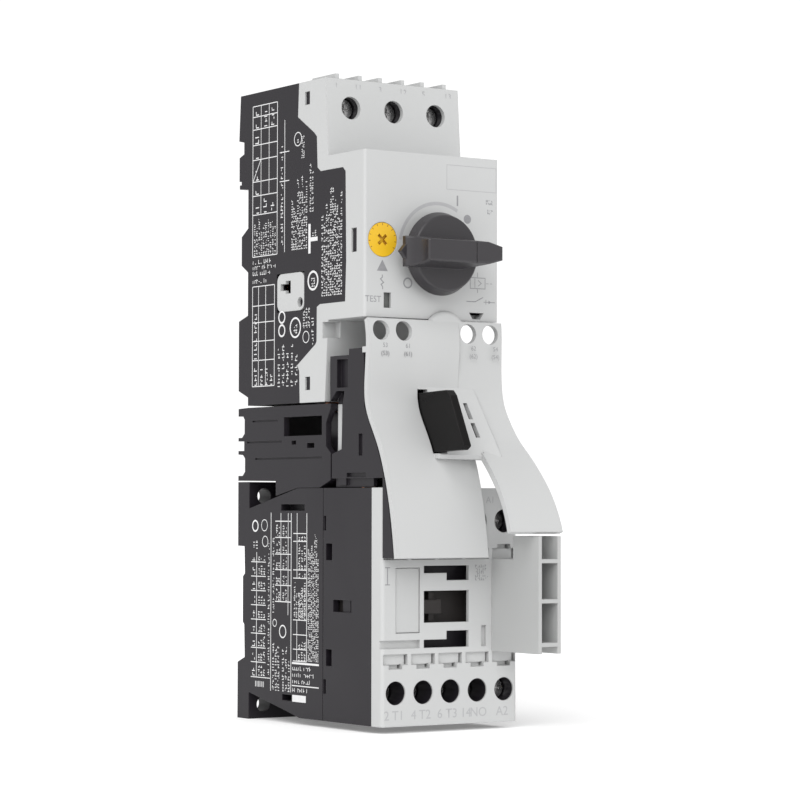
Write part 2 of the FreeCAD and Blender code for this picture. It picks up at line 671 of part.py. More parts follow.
def wire_channels(columns, sides):
    """Channels behind the screw holes, open at the top and bottom faces."""
    tools = []
    for x in columns:
        for side in sides:
            near, far = sorted((10.0 * side, (dim.body_half.value + 1) * side))
            tools.append(block((x - 3.6, x + 3.6), (57.0, 67.5), (axis + near, axis + far)))
            tools.append(rod(dim.access_radius, x, 66.0, axis + dim.terminal_rise * side, 12.0))
    return tools


def contactor_front_housing():
    """Front shell: contact chamber in the middle, wire channels above and below it."""
    shell = block(full, (dim.housing_split, dim.shell_front), (low, high))
    shrouds = [rod(dim.access_radius + dim.shroud_wall, x, 69.5, axis + dim.terminal_rise * side, 4.9)
               for x in contactor_columns for side in (1, -1)]
    shell = together([shell] + shrouds)
    tools = [block(inner, (45.0, 71.0), (axis - 11.5, axis + 11.5)),
             block((-17.0, 17.0), (45.0, 52.0), (axis - 22.0, axis + 22.0))]
    for wall_x in ((-half - 1, -half + 3.2), (half - 3.2, half + 1)):
        for near, far, bottom, top in ((51.0, 54.6, -1.9, 1.4), (58.3, 60.1, -1.9, 1.4),
                                       (47.3, 50.4, 12.2, 16.8), (47.4, 50.3, -16.9, -12.3),
                                       (46.0, 47.3, 20.4, 24.4), (46.0, 47.4, -24.6, -20.6)):
            tools.append(block(wall_x, (near, far), (axis + bottom, axis + top)))
    for wall_x in ((-half - 1, -half + 0.9), (half - 0.9, half + 1)):
        tools.append(block(wall_x, (54.0, 59.0), (axis - 1.9, axis + 1.4)))
    coil_column = contactor_columns[-1]
    for side in (1, -1):
        near, far = sorted((11.4 * side, 13.4 * side))
        tools.append(block((coil_column - 2.0, coil_column + 2.0), (45.0, 58.5),
                           (axis + near, axis + far)))
    hollowed = cut(shell, tools + wire_channels(contactor_columns, (1, -1)))
    baffles = [block((-half + 1, half - 1), (68.2, dim.shell_front), (axis + near, axis + far))
               for near, far in ((5.2, 12.0), (-12.0, -5.2))]
    return together([hollowed] + baffles)


def contactor_face():
    """Light face: screw holes, indicator windows, label recess and the pockets by the screws."""
    face = dim.face_depth
    plate = block((-half, half), (dim.shell_front, face), (low, high))
    plate = rounded(plate, 1.0, lambda edge: edge_along(edge, Z_AXIS) and edge.CenterOfMass.y < -69)
    tools = []
    for x in contactor_columns:
        for side in (1, -1):
            tools.append(rod(dim.access_radius, x, 69.0, axis + dim.terminal_rise * side, 7.0))
            tools.append(rod(dim.access_radius + dim.shroud_wall + dim.shaft_play, x, 69.0,
                             axis + dim.terminal_rise * side, 5.45))
            near, far = sorted((12.9 * side, 15.4 * side))
            tools.append(block((x + 3.3, x + 3.9), (69.0, face + 1), (axis + near, axis + far)))
            tools.append(block((x + 1.6, x + 2.2), (69.0, face + 1),
                               (axis + min(15.4 * side, 16.5 * side), axis + max(15.4 * side, 16.5 * side))))
            near, far = sorted((12.7 * side, 15.6 * side))
            tools.append(block((x - 3.9, x + 3.9), (face - 0.9, face + 1), (axis + near, axis + far)))
            near, far = sorted((15.5 * side, 16.7 * side))
            tools.append(block((x - 2.2, x + 2.2), (face - 1.6, face + 1), (axis + near, axis + far)))
    window = (-8.8, 6.1)
    tools.append(block(window, (69.0, 76.0), (axis - 4.4, axis + 4.2)))
    tools.append(block((-9.8, 10.0), (69.0, face - 1.2), (axis - 11.8, axis + 11.6)))
    tools.append(block(window, (69.0, face + 1), (axis + 9.0, axis + 11.0)))
    tools.append(block((-1.3, window[1]), (69.0, face + 1), (axis + 7.0, axis + 9.1)))
    tools.append(block(window, (69.0, face + 1), (axis - 11.2, axis - 9.0)))
    tools.append(block((-1.3, window[1]), (69.0, face + 1), (axis - 9.1, axis - 6.7)))
    tools.append(block((-18.0, -10.1), (face - 0.8, face + 1), (axis - 7.1, axis + 10.5)))
    tools.append(block((-half - 1, -10.1), (face - 1.2, face + 1), (axis - 11.2, axis - 9.0)))
    tools.append(block((10.4, 12.0), (face - 1.0, face + 1), (axis - 11.2, axis - 5.5)))
    return cut(plate, tools)


keep("contactor_rear_housing", contactor_rear_housing())
keep("contactor_front_housing", contactor_front_housing())
keep("contactor_face", contactor_face())
keep("label_insert", block((-17.8, -10.3), (dim.face_depth - 0.8, dim.face_depth - 0.3),
                           (axis - 6.9, axis + 10.3)))
for label, side in (("upper_terminal", 1), ("lower_terminal", -1)):
    height = axis + dim.terminal_rise * side
    screw_seats = [65.5] * 4 + [dim.coil_rise + 65.5]
    keep(label + "_screws", group([terminal_screw(x, seat, height)
                                   for x, seat in zip(contactor_columns, screw_seats)]))
    saddle_seats = [64.4] * 4 + [66.4]
    keep(label + "_clamps", group([saddle(x, seat, height, 6.6, 6.6)
                                   for x, seat in zip(contactor_columns, saddle_seats)]))


def contactor_fixed_contact(x, side):
    """Copper strip under the clamp, reaching into the contact chamber, with its button."""
    near, far = sorted((7.2 * side, 27.5 * side))
    strip = block((x - 2.4, x + 2.4), (58.0, 59.0), (axis + near, axis + far))
    return together([strip, rod(1.6, x, 59.0, axis + 8.9 * side, 0.9)])


keep("upper_contacts", group([contactor_fixed_contact(x, 1) for x in contact_columns]))
keep("lower_contacts", group([contactor_fixed_contact(x, -1) for x in contact_columns]))


def coil_terminal(side):
    """Strip from a coil screw back to the coil, along the right-hand wall."""
    x = contactor_columns[-1]
    near, far = sorted((12.0 * side, 27.5 * side))
    front = dim.coil_rise + 59.0
    strip = block((x - 1.6, x + 1.6), (front - 1.0, front), (axis + near, axis + far))
    near, far = sorted((12.0 * side, 13.0 * side))
    return together([strip, block((x - 1.6, x + 1.6), (46.2, front), (axis + near, axis + far))])


keep("coil_terminals", group([coil_terminal(side) for side in (1, -1)]))

# ---- Contactor magnet: E-shaped yoke, coil on its bobbin, armature on the moving carrier ----


def e_core(back, front, tips, legs_forward):
    """Laminated E core: a back bar with three legs."""
    bar = block((-7.0, 7.0), (back, front), (axis - 19.5, axis + 19.5))
    near, far = sorted((front if legs_forward else back, tips))
    legs = [block((-7.0, 7.0), (near, far), (axis + bottom, axis + top))
            for bottom, top in ((-19.5, -14.8), (-4.0, 4.0), (14.8, 19.5))]
    return together([bar] + legs)


keep("magnet_yoke", e_core(10.6, 16.0, 36.6, True))
keep("yoke_damping_pad", block((-7.0, 7.0), (8.6, 10.5), (axis - 16.0, axis + 16.0)))
keep("magnet_armature", e_core(42.0, 47.0, 40.4, False))


def coil_bobbin():
    """Spool around the middle leg, with a flange at each end."""
    tube = block((-8.4, 8.4), (18.0, 36.0), (axis - 5.4, axis + 5.4))
    flanges = [block((-14.5, 14.5), (near, near + 1.4), (axis - 13.8, axis + 13.8))
               for near in (18.0, 34.6)]
    return cut(together([tube] + flanges),
               [block((-7.4, 7.4), (17.0, 40.0), (axis - 4.4, axis + 4.4))])


keep("coil_bobbin", coil_bobbin())
winding = block((-13.4, 13.4), (19.6, 34.4), (axis - 12.8, axis + 12.8))
winding = rounded(winding, 3.0, lambda edge: edge_along(edge, Y_AXIS))
keep("coil_winding", cut(winding, [block((-8.5, 8.5), (19.0, 35.0), (axis - 5.5, axis + 5.5))]))


def contact_carrier():
    """Moulded carrier: foot behind, a window for each bridge, indicator tab in front."""
    base = block((-19.4, 13.0), (47.1, 50.0), (axis - 5.0, axis + 5.0))
    bar = block((-20.2, 13.0), (50.0, 69.4), (axis - 4.6, axis + 4.6))
    bar = cut(bar, [block((x - 2.9, x + 2.9), (61.0, 68.0), (axis - 6.0, axis + 6.0))
                    for x in contact_columns])
    tab = block((-8.0, -2.2), (69.0, 73.6), (axis - 2.0, axis + 1.7))
    blade = block((-5.6, -4.0), (69.0, 72.6), (axis - 4.0, axis + 3.8))
    return together([base, bar, tab, blade])


keep("contact_carrier", contact_carrier())


def moving_contact(x):
    """Bridge across the upper and lower contacts, a button at each end."""
    bar = block((x - 2.2, x + 2.2), (64.0, 64.9), (axis - 10.6, axis + 10.6))
    return together([bar] + [rod(1.6, x, 63.3, axis + 8.9 * side, 1.0) for side in (1, -1)])


keep("moving_contacts", group([moving_contact(x) for x in contact_columns]))
keep("contact_springs", group(
    [coil_spring(1.5, 0.4, 0.9, 2.4, x, 65.2, axis, FORWARD) for x in contact_columns]))
keep("carrier_return_springs", group(
    [coil_spring(1.8, 0.5, 1.8, 10.0, x, 36.5, axis, FORWARD) for x in (-11.0, 11.0)]))
keep("contactor_rail_clip", rail_clip(foot + 0.2, axis - 16.2, 3.0, axis - 19.2))
keep("contactor_clip_spring", clip_spring(axis - 25.9, 5.2))

# ---- Link module: black body, three busbars, light curved cover with its lock lever ----

apron_curve = [(dim.cover_face, dim.cover_top), (67.9, -40.0), (68.4, -46.5), (71.0, -51.6),
               (74.2, -56.9), (76.9, -63.1), (79.7, -72.3), (82.4, dim.apron_bottom)]
wing_curve = [(dim.cover_face, dim.cover_top), (67.9, -40.0), (69.2, -46.0), (72.2, -51.0),
              (75.9, -55.5), (80.5, -59.6), (85.8, -64.7), (90.6, -70.4), (94.0, -76.2),
              (95.9, dim.wing_bottom)]


def curved_sheet(curve, left, right):
    """Sheet of even thickness whose front follows a spline through the given points."""
    points = [Vector(0, y_at(size_of(depth)).value, size_of(height).value)
              for depth, height in curve]
    front = Part.BSplineCurve()
    front.interpolate(points)
    behind = []
    for point in points:
        tangent = Vector(*front.tangent(front.parameter(point))[0])
        behind.append(point + Vector(0, -tangent.z, tangent.y) * dim.cover_skin.value)
    back = Part.BSplineCurve()
    back.interpolate(behind)
    rim = [front.toShape(), Part.makeLine(points[-1], behind[-1]), back.toShape(),
           Part.makeLine(behind[0], points[0])]
    face = Part.Face(Part.Wire(Part.__sortEdges__(rim)))
    left, right = size_of(left), size_of(right)
    sheet_solid = doc.addObject("Part::Feature", name_tool("Sheet"))
    sheet_solid.Shape = face.extrude(Vector((right - left).value, 0, 0))
    return place(sheet_solid, left, 0, 0)


def lever_panel():
    """Raised field beside the lever, lofted between its two end profiles, with a lower lip."""
    wires = []
    for x, profile in ((-5.9, [(67.0, -40.0), (69.2, -43.5), (77.6, -59.9), (77.2, -61.0),
                               (73.4, -61.0), (73.4, -58.8), (67.0, -47.0)]),
                       (12.6, [(67.0, -40.0), (69.6, -43.5), (81.4, -60.2), (81.0, -61.3),
                               (77.0, -61.4), (77.0, -59.2), (67.0, -47.0)])):
        corners = [Vector(x, y_at(size_of(depth)).value, height) for depth, height in profile]
        wires.append(Part.makePolygon(corners + corners[:1]))
    field = doc.addObject("Part::Feature", name_tool("Field"))
    field.Shape = Part.makeLoft(wires, True, True)
    return field


def link_cover():
    """Apron over the contactor's upper terminals and a wing that shields the coil terminal."""
    apron = curved_sheet(apron_curve, -half, dim.apron_right)
    wing = curved_sheet(wing_curve, dim.wing_left, half)
    slant = prism("front", [(dim.wing_left - 1, -59.4), (dim.wing_left + 1.8, -59.4),
                            (dim.wing_left, dim.wing_bottom), (dim.wing_left - 1, dim.wing_bottom)],
                  60.0, 100.0)
    wing = cut(wing, [block((0, dim.apron_right), (60.0, 100.0), (-59.4, 0.0)), slant])
    panel = lever_panel()
    dome = rod(dim.dome_radius, 3.9, dim.plate_face + 0.15, -27.0, 1.5)
    dome = rounded(dome, 1.2, lambda edge: edge.CenterOfMass.y < dim.seat.value - 67.7)
    catch = block((-half, -half + 1.5), (65.2, 67.0), (-32.2, -30.6))
    holes = [rod(dim.port_radius, x, 60.0, dim.port_height, 12.0)
             for x in (-dim.outer_port_x, -dim.inner_port_x, dim.inner_port_x, dim.outer_port_x)]
    slot_x = (dim.lever_x - dim.fit, dim.lever_x + dim.lever_width + dim.fit)
    holes.append(block(slot_x, (60.0, 100.0), (-59.6, -41.9)))
    for low_end, high_end in ((-50.0, -45.5), (-55.1, -51.1)):
        holes.append(block((7.1, 8.4), (66.0, 84.0), (low_end, high_end)))
    holes.append(prism("side", [(60.0, -44.4), (68.2, -44.4), (77.8, -58.2), (74.0, -58.2),
                                (60.0, -50.0)], 4.6, 10.8))
    return cut(together([apron, wing, panel, dome, catch]), holes)


keep("link_cover", link_cover())


def lock_lever():
    """Flat black lever: a fin through the cover's slot, pivoted at its upper inner corner."""
    fin = prism("side", [(66.4, -43.0), (81.2, -42.5), (82.8, -44.0), (89.4, -57.8), (87.8, -58.8),
                         (72.0, -59.3), (67.5, -50.4)], dim.lever_x, dim.lever_x + dim.lever_width)
    fin = rounded(fin, 0.5, lambda edge: edge_along(edge, X_AXIS) and edge.CenterOfMass.y < -70)
    pin = rod(1.2, dim.lever_x - 2.6, 64.6, -46.0, 8.2, RIGHTWARD)
    hub = rod(2.6, dim.lever_x, 64.6, -46.0, dim.lever_width, RIGHTWARD)
    return together([fin, pin, hub])


keep("lock_lever", lock_lever())


def link_module_body():
    """Black body: side plate behind the cover's left edge, busbar duct and pivot lugs."""
    skirt = prism("side", [(49.2, -32.6), (58.6, -32.6), (58.6, -30.9), (65.9, -30.9), (66.2, -46.9),
                           (69.0, -51.9), (72.3, -57.6), (74.9, -63.5), (77.8, -72.6),
                           (80.6, dim.apron_bottom), (75.3, dim.apron_bottom), (75.3, -66.3),
                           (74.2, -66.3), (50.2, -66.3), (50.2, -59.6), (55.0, -58.3),
                           (55.5, -46.1), (56.4, -42.3), (52.4, -42.3), (49.2, -45.0)],
                  -half, -half + 2.2)
    skirt = cut(skirt, [block((-half - 1, -half + 1.4), (52.6, 58.2), (-41.4, -33.6)),
                        block((-half - 1, -half + 0.8), (63.5, 65.4), (-60.2, -54.2)),
                        block((-half - 1, -half + 0.8), (57.6, 67.2), (-66.0, -64.8))])
    deck = block((-half + 2.2, 5.5), (50.2, 72.0), (-66.3, -64.4))
    web = block((-half + 2.2, 5.5), (70.6, 72.0), (-64.4, -59.6))
    back_rail = block((-half + 2.2, 18.0), (50.2, 52.0), (-45.7, -33.0))
    partition = block((-18.4, -17.2), (39.0, 54.0), (-60.0, -47.8))
    lower_screen = block((-half + 0.9, -half + 2.1), (51.0, 69.6), (-68.7, -66.0))
    screen_foot = block((-half + 0.2, -half + 2.0), (53.4, 57.0), (-68.2, -66.2))
    upper_web = block((-half + 2.2, 18.0), (52.0, 65.8), (-34.4, -33.0))
    right_cheek = block((16.6, 18.0), (52.0, 65.8), (-60.0, -34.4))
    duct = block((-half + 2.2, 18.0), (52.0, 54.0), (-60.0, -58.6))
    skirt_right = block((4.1, 5.5), (50.2, 70.6), (-64.4, -60.0))
    shield = block((-half + 2.2, 5.5), (75.3, 76.6), (-80.0, -69.5))
    lugs = [block((x, x + 1.4), (61.6, 65.8), (-48.8, -34.4)) for x in (-8.6, -1.4)]
    tools = [rod(1.2 + dim.shaft_play, -8.8, 64.6, -46.0, 10.4, RIGHTWARD),
             block((-half - 1, -half + 1.7), (65.0, 67.5), (-32.4, -30.4))]
    for x in main_columns:
        tools.append(block((x - 2.5, x + 2.5), (60.0, 63.5), (-67.0, -64.0)))
    return cut(together([skirt, deck, web, back_rail, upper_web, right_cheek, duct, skirt_right,
                         shield, partition, lower_screen, screen_foot] + lugs), tools)


keep("link_module_body", link_module_body())
keep("link_guide_strip", together([block((-20.2, -18.8), (49.7, 51.6), (-59.4, -45.8)),
                                   block((-20.2, -18.8), (49.7, 52.0), (-59.4, -58.7))]))


def busbar(x_breaker, x_contactor, level):
    """Bar from a load terminal of the breaker, forward, sideways and down to the contactor."""
    prong = block((x_breaker - 1.8, x_breaker + 1.8), (37.0, 38.2), (level, -39.0))
    forward = block((x_breaker - 1.8, x_breaker + 1.8), (37.0, 62.2), (level, level + 1.2))
    left, right = sorted((x_breaker.value, x_contactor.value))
    across = block((left - 1.8, right + 1.8), (61.0, 62.2), (level, level + 3.0))
    drop = block((x_contactor - 1.8, x_contactor + 1.8), (61.0, 62.2), (axis + 26.0, level + 3.0))
    return together([prong, forward, across, drop])


keep("link_busbars", group([busbar(breaker_columns[0], main_columns[0], -52.6),
                            busbar(breaker_columns[1], main_columns[1], -52.6),
                            busbar(breaker_columns[2], main_columns[2], -57.4)]))


def cable_guide():
    """Guide for control wires: one flat wall, three bays open to the front, foot on the face."""
    front, wall_thick = dim.guide_front, dim.guide_wall
    body = block((dim.guide_left, dim.guide_right), (dim.face_depth, front),
                 (dim.guide_bottom, dim.guide_top))
    tools = [block((dim.guide_left - 1, dim.guide_right + 1),
                   (dim.face_depth - 1, dim.face_depth + dim.guide_step),
                   (dim.guide_top - 6.4, dim.guide_top + 1))]
    bay_x = (dim.guide_left + wall_thick, dim.guide_right - wall_thick)
    for bottom, top in ((dim.guide_bottom - 1, dim.guide_bottom + 1.9),
                        (dim.guide_bottom + 3.0, dim.guide_bottom + 13.6),
                        (dim.guide_bottom + 14.7, dim.guide_bottom + 24.4),
                        (dim.guide_bottom + 25.5, dim.guide_top + 1)):
        tools.append(block(bay_x, (dim.face_depth + dim.guide_step + 1.2, front + 1), (bottom, top)))
    return cut(body, tools)


keep("cable_guide", cable_guide())


# ---- Finish: recompute, test every object, write one STEP file per sub-part ----

doc.recompute()
for item in doc.Objects:
    if "Invalid" in item.State or "Error" in item.State:
        raise RuntimeError("failed object %s (%s)" % (item.Name, item.Label))
for label, solid in subparts.items():
    if solid.Shape.isNull() or not solid.Shape.isValid():
        raise RuntimeError("bad shape in " + label)
for label, solid in subparts.items():
    solid.Shape.exportStep("parts/%s.step" % label)
    print("%-26s %2d solids %9.1f mm3" % (label, len(solid.Shape.Solids), solid.Shape.Volume))
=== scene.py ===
import math, random
import bpy
from mathutils import Matrix, Vector


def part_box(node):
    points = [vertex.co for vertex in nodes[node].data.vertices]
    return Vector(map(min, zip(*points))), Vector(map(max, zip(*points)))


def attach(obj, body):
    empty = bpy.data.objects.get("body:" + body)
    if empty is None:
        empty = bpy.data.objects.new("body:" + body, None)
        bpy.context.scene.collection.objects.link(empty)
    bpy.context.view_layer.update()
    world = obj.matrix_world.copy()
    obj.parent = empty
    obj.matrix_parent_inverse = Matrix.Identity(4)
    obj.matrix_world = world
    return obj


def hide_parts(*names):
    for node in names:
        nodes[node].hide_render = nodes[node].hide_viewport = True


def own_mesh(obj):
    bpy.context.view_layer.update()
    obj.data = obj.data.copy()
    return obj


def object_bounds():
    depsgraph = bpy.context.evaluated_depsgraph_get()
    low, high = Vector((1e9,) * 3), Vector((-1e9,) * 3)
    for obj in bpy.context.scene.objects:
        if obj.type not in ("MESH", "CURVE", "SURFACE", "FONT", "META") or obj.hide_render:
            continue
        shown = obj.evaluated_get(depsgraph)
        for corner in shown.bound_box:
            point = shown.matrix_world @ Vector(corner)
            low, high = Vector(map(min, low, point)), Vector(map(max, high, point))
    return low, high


# The motor starter's own frame: a breaker above, a contactor below, both on one rail, joined by a link
# module in front. X goes right, Y goes back to the rail, Z goes up, and the middle of the breaker's rail
# is zero.
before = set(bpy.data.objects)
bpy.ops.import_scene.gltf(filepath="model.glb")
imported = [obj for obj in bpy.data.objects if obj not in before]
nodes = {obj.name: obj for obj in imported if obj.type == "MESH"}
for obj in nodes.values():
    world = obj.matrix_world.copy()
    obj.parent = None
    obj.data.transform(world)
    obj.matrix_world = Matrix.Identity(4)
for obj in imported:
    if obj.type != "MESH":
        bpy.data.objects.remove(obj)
cad_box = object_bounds()
MM = 0.001

# Camera: a long lens a little under a metre away, left of the starter and level with the link module. It
# is held almost upright and looks slightly up.
bearing, tilt, roll = math.radians(34.2406), math.radians(2.1712), math.radians(0.1035)
stand = Vector((-0.444914, -0.698869, -0.074144))
focal_length = 127.107
ahead = Vector((math.sin(bearing) * math.cos(tilt), math.cos(bearing) * math.cos(tilt), math.sin(tilt)))
level = Vector((math.cos(bearing), -math.sin(bearing), 0))
upright = level.cross(ahead)
right = math.cos(roll) * level + math.sin(roll) * upright
above = math.cos(roll) * upright - math.sin(roll) * level
camera = bpy.data.objects.new("camera", bpy.data.cameras.new("camera"))
camera.data.sensor_width = 36
camera.data.lens = focal_length
camera.data.clip_start, camera.data.clip_end = 0.01, 50
camera.matrix_world = Matrix.Translation(stand) @ Matrix((right, above, -ahead)).transposed().to_4x4()
bpy.context.scene.collection.objects.link(camera)
bpy.context.scene.camera = camera

# Studio: a pale table at the contactor's foot, an even white room round it, and one wide soft lamp at the
# upper left. Nothing here belongs to the starter.
floor_mesh = bpy.data.meshes.new("table")
reach, floor_level = 6, min(corner[2] for corner in cad_box)
floor_mesh.from_pydata([(-reach, -reach, floor_level), (reach, -reach, floor_level),
                        (reach, reach, floor_level), (-reach, reach, floor_level)], [], [(0, 1, 2, 3)])
table = bpy.data.objects.new("table", floor_mesh)
bpy.context.scene.collection.objects.link(table)
table_paint = bpy.data.materials.new("table_paint")
table_paint.use_nodes = True
sheet_shader = table_paint.node_tree.nodes["Principled BSDF"]
sheet_shader.inputs["Roughness"].default_value = 0.9
sheet_shader.inputs["Specular IOR Level"].default_value = 0.1
sheet_shader.inputs["Emission Color"].default_value = (1, 1, 1, 1)
sheet_shader.inputs["Emission Strength"].default_value = 0.2
fleck = table_paint.node_tree.nodes.new("ShaderNodeTexNoise")
fleck.inputs["Scale"].default_value = 30
fleck_tone = table_paint.node_tree.nodes.new("ShaderNodeMapRange")
fleck_tone.inputs["To Min"].default_value, fleck_tone.inputs["To Max"].default_value = 0.93, 0.96
table_paint.node_tree.links.new(fleck.outputs["Fac"], fleck_tone.inputs["Value"])
table_paint.node_tree.links.new(fleck_tone.outputs["Result"], sheet_shader.inputs["Base Color"])
table.data.materials.append(table_paint)

room = bpy.data.worlds.new("white_room")
room.use_nodes = True
backcloth = room.node_tree.nodes["Background"]
backcloth.inputs["Color"].default_value = (1, 1, 1, 1)
seen_direct = room.node_tree.nodes.new("ShaderNodeLightPath")
room_level = room.node_tree.nodes.new("ShaderNodeMapRange")
room_level.inputs["To Min"].default_value, room_level.inputs["To Max"].default_value = 0.78, 1.08
room.node_tree.links.new(seen_direct.outputs["Is Camera Ray"], room_level.inputs["Value"])
room.node_tree.links.new(room_level.outputs["Result"], backcloth.inputs["Strength"])
bpy.context.scene.world = room
bpy.context.scene.view_settings.view_transform = "Standard"
bpy.context.scene.view_settings.look = "None"

soft_lamp = bpy.data.objects.new("soft_lamp", bpy.data.lights.new("soft_lamp", "SUN"))
soft_lamp.data.energy, soft_lamp.data.angle = 1.75, math.radians(50)
lamp_side = Vector((-0.55, -0.57, 0.62))
soft_lamp.rotation_euler = lamp_side.to_track_quat("Z", "Y").to_euler()
bpy.context.scene.collection.objects.link(soft_lamp)

# Contactor rear housing: glass-filled black thermoplastic, moulded in a spark-eroded tool. The effects
# that every moulding shares are made here: the tool's grain, rubbed corners, and a tint in corners and
# recesses, which is settled dust on most mouldings and painted shade in the dial's cross recess.
def effect_group(name, inputs, outputs):
    """An empty effect that several finishes share, with its named inputs and outputs."""
    group = bpy.data.node_groups.new(name, "ShaderNodeTree")
    for label, kind, value in inputs:
        socket = group.interface.new_socket(label, in_out="INPUT", socket_type=kind)
        socket.default_value = value
    for label, kind in outputs:
        group.interface.new_socket(label, in_out="OUTPUT", socket_type=kind)
    given = group.nodes.new("NodeGroupInput").outputs
    return group, given, group.nodes.new("NodeGroupOutput").inputs


moulded_grain, given, result = effect_group(
    "moulded_grain",
    [("Grains per metre", "NodeSocketFloat", 1500), ("Flow marks per metre", "NodeSocketFloat", 30)],
    [("Height", "NodeSocketFloat"), ("Tone", "NodeSocketFloat")])
where = moulded_grain.nodes.new("ShaderNodeTexCoord")
pits = moulded_grain.nodes.new("ShaderNodeTexNoise")
pits.inputs["Detail"].default_value, pits.inputs["Roughness"].default_value = 3, 0.62
flow = moulded_grain.nodes.new("ShaderNodeTexNoise")
flow.inputs["Detail"].default_value, flow.inputs["Distortion"].default_value = 2, 0.6
moulded_grain.links.new(where.outputs["Object"], pits.inputs["Vector"])
moulded_grain.links.new(where.outputs["Object"], flow.inputs["Vector"])
moulded_grain.links.new(given["Grains per metre"], pits.inputs["Scale"])
moulded_grain.links.new(given["Flow marks per metre"], flow.inputs["Scale"])
moulded_grain.links.new(pits.outputs["Fac"], result["Height"])
moulded_grain.links.new(flow.outputs["Fac"], result["Tone"])

rubbed_corners, given, result = effect_group(
    "rubbed_corners",
    [("Width", "NodeSocketFloat", 0.0003), ("Patches per metre", "NodeSocketFloat", 90)],
    [("Mask", "NodeSocketFloat"), ("Rounded", "NodeSocketVector")])
rounded_view = rubbed_corners.nodes.new("ShaderNodeBevel")
rounded_view.samples = 4
surface = rubbed_corners.nodes.new("ShaderNodeNewGeometry")
turned = rubbed_corners.nodes.new("ShaderNodeVectorMath")
turned.operation = "DOT_PRODUCT"
corner_mask = rubbed_corners.nodes.new("ShaderNodeMapRange")
corner_mask.inputs["From Min"].default_value, corner_mask.inputs["From Max"].default_value = 0.995, 0.86
patches = rubbed_corners.nodes.new("ShaderNodeTexNoise")
patch_range = rubbed_corners.nodes.new("ShaderNodeMapRange")
patch_range.inputs["From Min"].default_value, patch_range.inputs["From Max"].default_value = 0.35, 0.7
patch_range.inputs["To Min"].default_value = 0.35
patched = rubbed_corners.nodes.new("ShaderNodeMath")
patched.operation = "MULTIPLY"
where = rubbed_corners.nodes.new("ShaderNodeTexCoord")
rubbed_corners.links.new(given["Width"], rounded_view.inputs["Radius"])
rubbed_corners.links.new(rounded_view.outputs["Normal"], turned.inputs[0])
rubbed_corners.links.new(surface.outputs["Normal"], turned.inputs[1])
rubbed_corners.links.new(turned.outputs["Value"], corner_mask.inputs["Value"])
rubbed_corners.links.new(where.outputs["Object"], patches.inputs["Vector"])
rubbed_corners.links.new(given["Patches per metre"], patches.inputs["Scale"])
rubbed_corners.links.new(patches.outputs["Fac"], patch_range.inputs["Value"])
rubbed_corners.links.new(corner_mask.outputs["Result"], patched.inputs[0])
rubbed_corners.links.new(patch_range.outputs["Result"], patched.inputs[1])
rubbed_corners.links.new(patched.outputs["Value"], result["Mask"])
rubbed_corners.links.new(rounded_view.outputs["Normal"], result["Rounded"])

# Corner tint from ambient occlusion: settled dust on most mouldings, painted shade in the dial's recess.
dust_and_recess_shade, given, result = effect_group(
    "dust_and_recess_shade",
    [("Reach", "NodeSocketFloat", 0.002), ("Specks per metre", "NodeSocketFloat", 400)],
    [("Mask", "NodeSocketFloat")])
closed_in = dust_and_recess_shade.nodes.new("ShaderNodeAmbientOcclusion")
closed_in.samples = 4
sheltered = dust_and_recess_shade.nodes.new("ShaderNodeMapRange")
sheltered.inputs["From Min"].default_value, sheltered.inputs["From Max"].default_value = 0.85, 0.35
specks = dust_and_recess_shade.nodes.new("ShaderNodeTexNoise")
specks.inputs["Detail"].default_value = 4
speck_range = dust_and_recess_shade.nodes.new("ShaderNodeMapRange")
speck_range.inputs["From Min"].default_value, speck_range.inputs["From Max"].default_value = 0.4, 0.65
speck_range.inputs["To Min"].default_value = 0.4
dust_and_shade_mask = dust_and_recess_shade.nodes.new("ShaderNodeMath")
dust_and_shade_mask.operation = "MULTIPLY"
where = dust_and_recess_shade.nodes.new("ShaderNodeTexCoord")
dust_and_recess_shade.links.new(given["Reach"], closed_in.inputs["Distance"])
dust_and_recess_shade.links.new(closed_in.outputs["AO"], sheltered.inputs["Value"])
dust_and_recess_shade.links.new(where.outputs["Object"], specks.inputs["Vector"])
dust_and_recess_shade.links.new(given["Specks per metre"], specks.inputs["Scale"])
dust_and_recess_shade.links.new(specks.outputs["Fac"], speck_range.inputs["Value"])
dust_and_recess_shade.links.new(sheltered.outputs["Result"], dust_and_shade_mask.inputs[0])
dust_and_recess_shade.links.new(speck_range.outputs["Result"], dust_and_shade_mask.inputs[1])
dust_and_recess_shade.links.new(dust_and_shade_mask.outputs["Value"], result["Mask"])


def place_effect(material, group, **settings):
    """Puts an effect into a finish, with the finish's own settings."""
    node = material.node_tree.nodes.new("ShaderNodeGroup")
    node.node_tree = group
    for label, value in settings.items():
        node.inputs[label.replace("_", " ")].default_value = value
    return node


def tinted(material, mask, low, high, strength):
    """A colour that goes from low to high with the mask, by the given strength."""
    tree = material.node_tree
    scaled = tree.nodes.new("ShaderNodeMath")
    scaled.operation, scaled.use_clamp = "MULTIPLY", True
    scaled.inputs[1].default_value = strength
    tree.links.new(mask, scaled.inputs[0])
    mix = tree.nodes.new("ShaderNodeMix")
    mix.data_type = "RGBA"
    tree.links.new(scaled.outputs["Value"], mix.inputs["Factor"])
    for socket, colour in ((mix.inputs["A"], low), (mix.inputs["B"], high)):
        if isinstance(colour, tuple):
            socket.default_value = (*colour, 1)
        else:
            tree.links.new(colour, socket)
    return mix.outputs["Result"]


def between(material, value, low, high):
    """The varying value brought into the range from low to high."""
    node = material.node_tree.nodes.new("ShaderNodeMapRange")
    node.inputs["From Min"].default_value, node.inputs["From Max"].default_value = 0.25, 0.75
    node.inputs["To Min"].default_value, node.inputs["To Max"].default_value = low, high
    material.node_tree.links.new(value, node.inputs["Value"])
    return node.outputs["Result"]


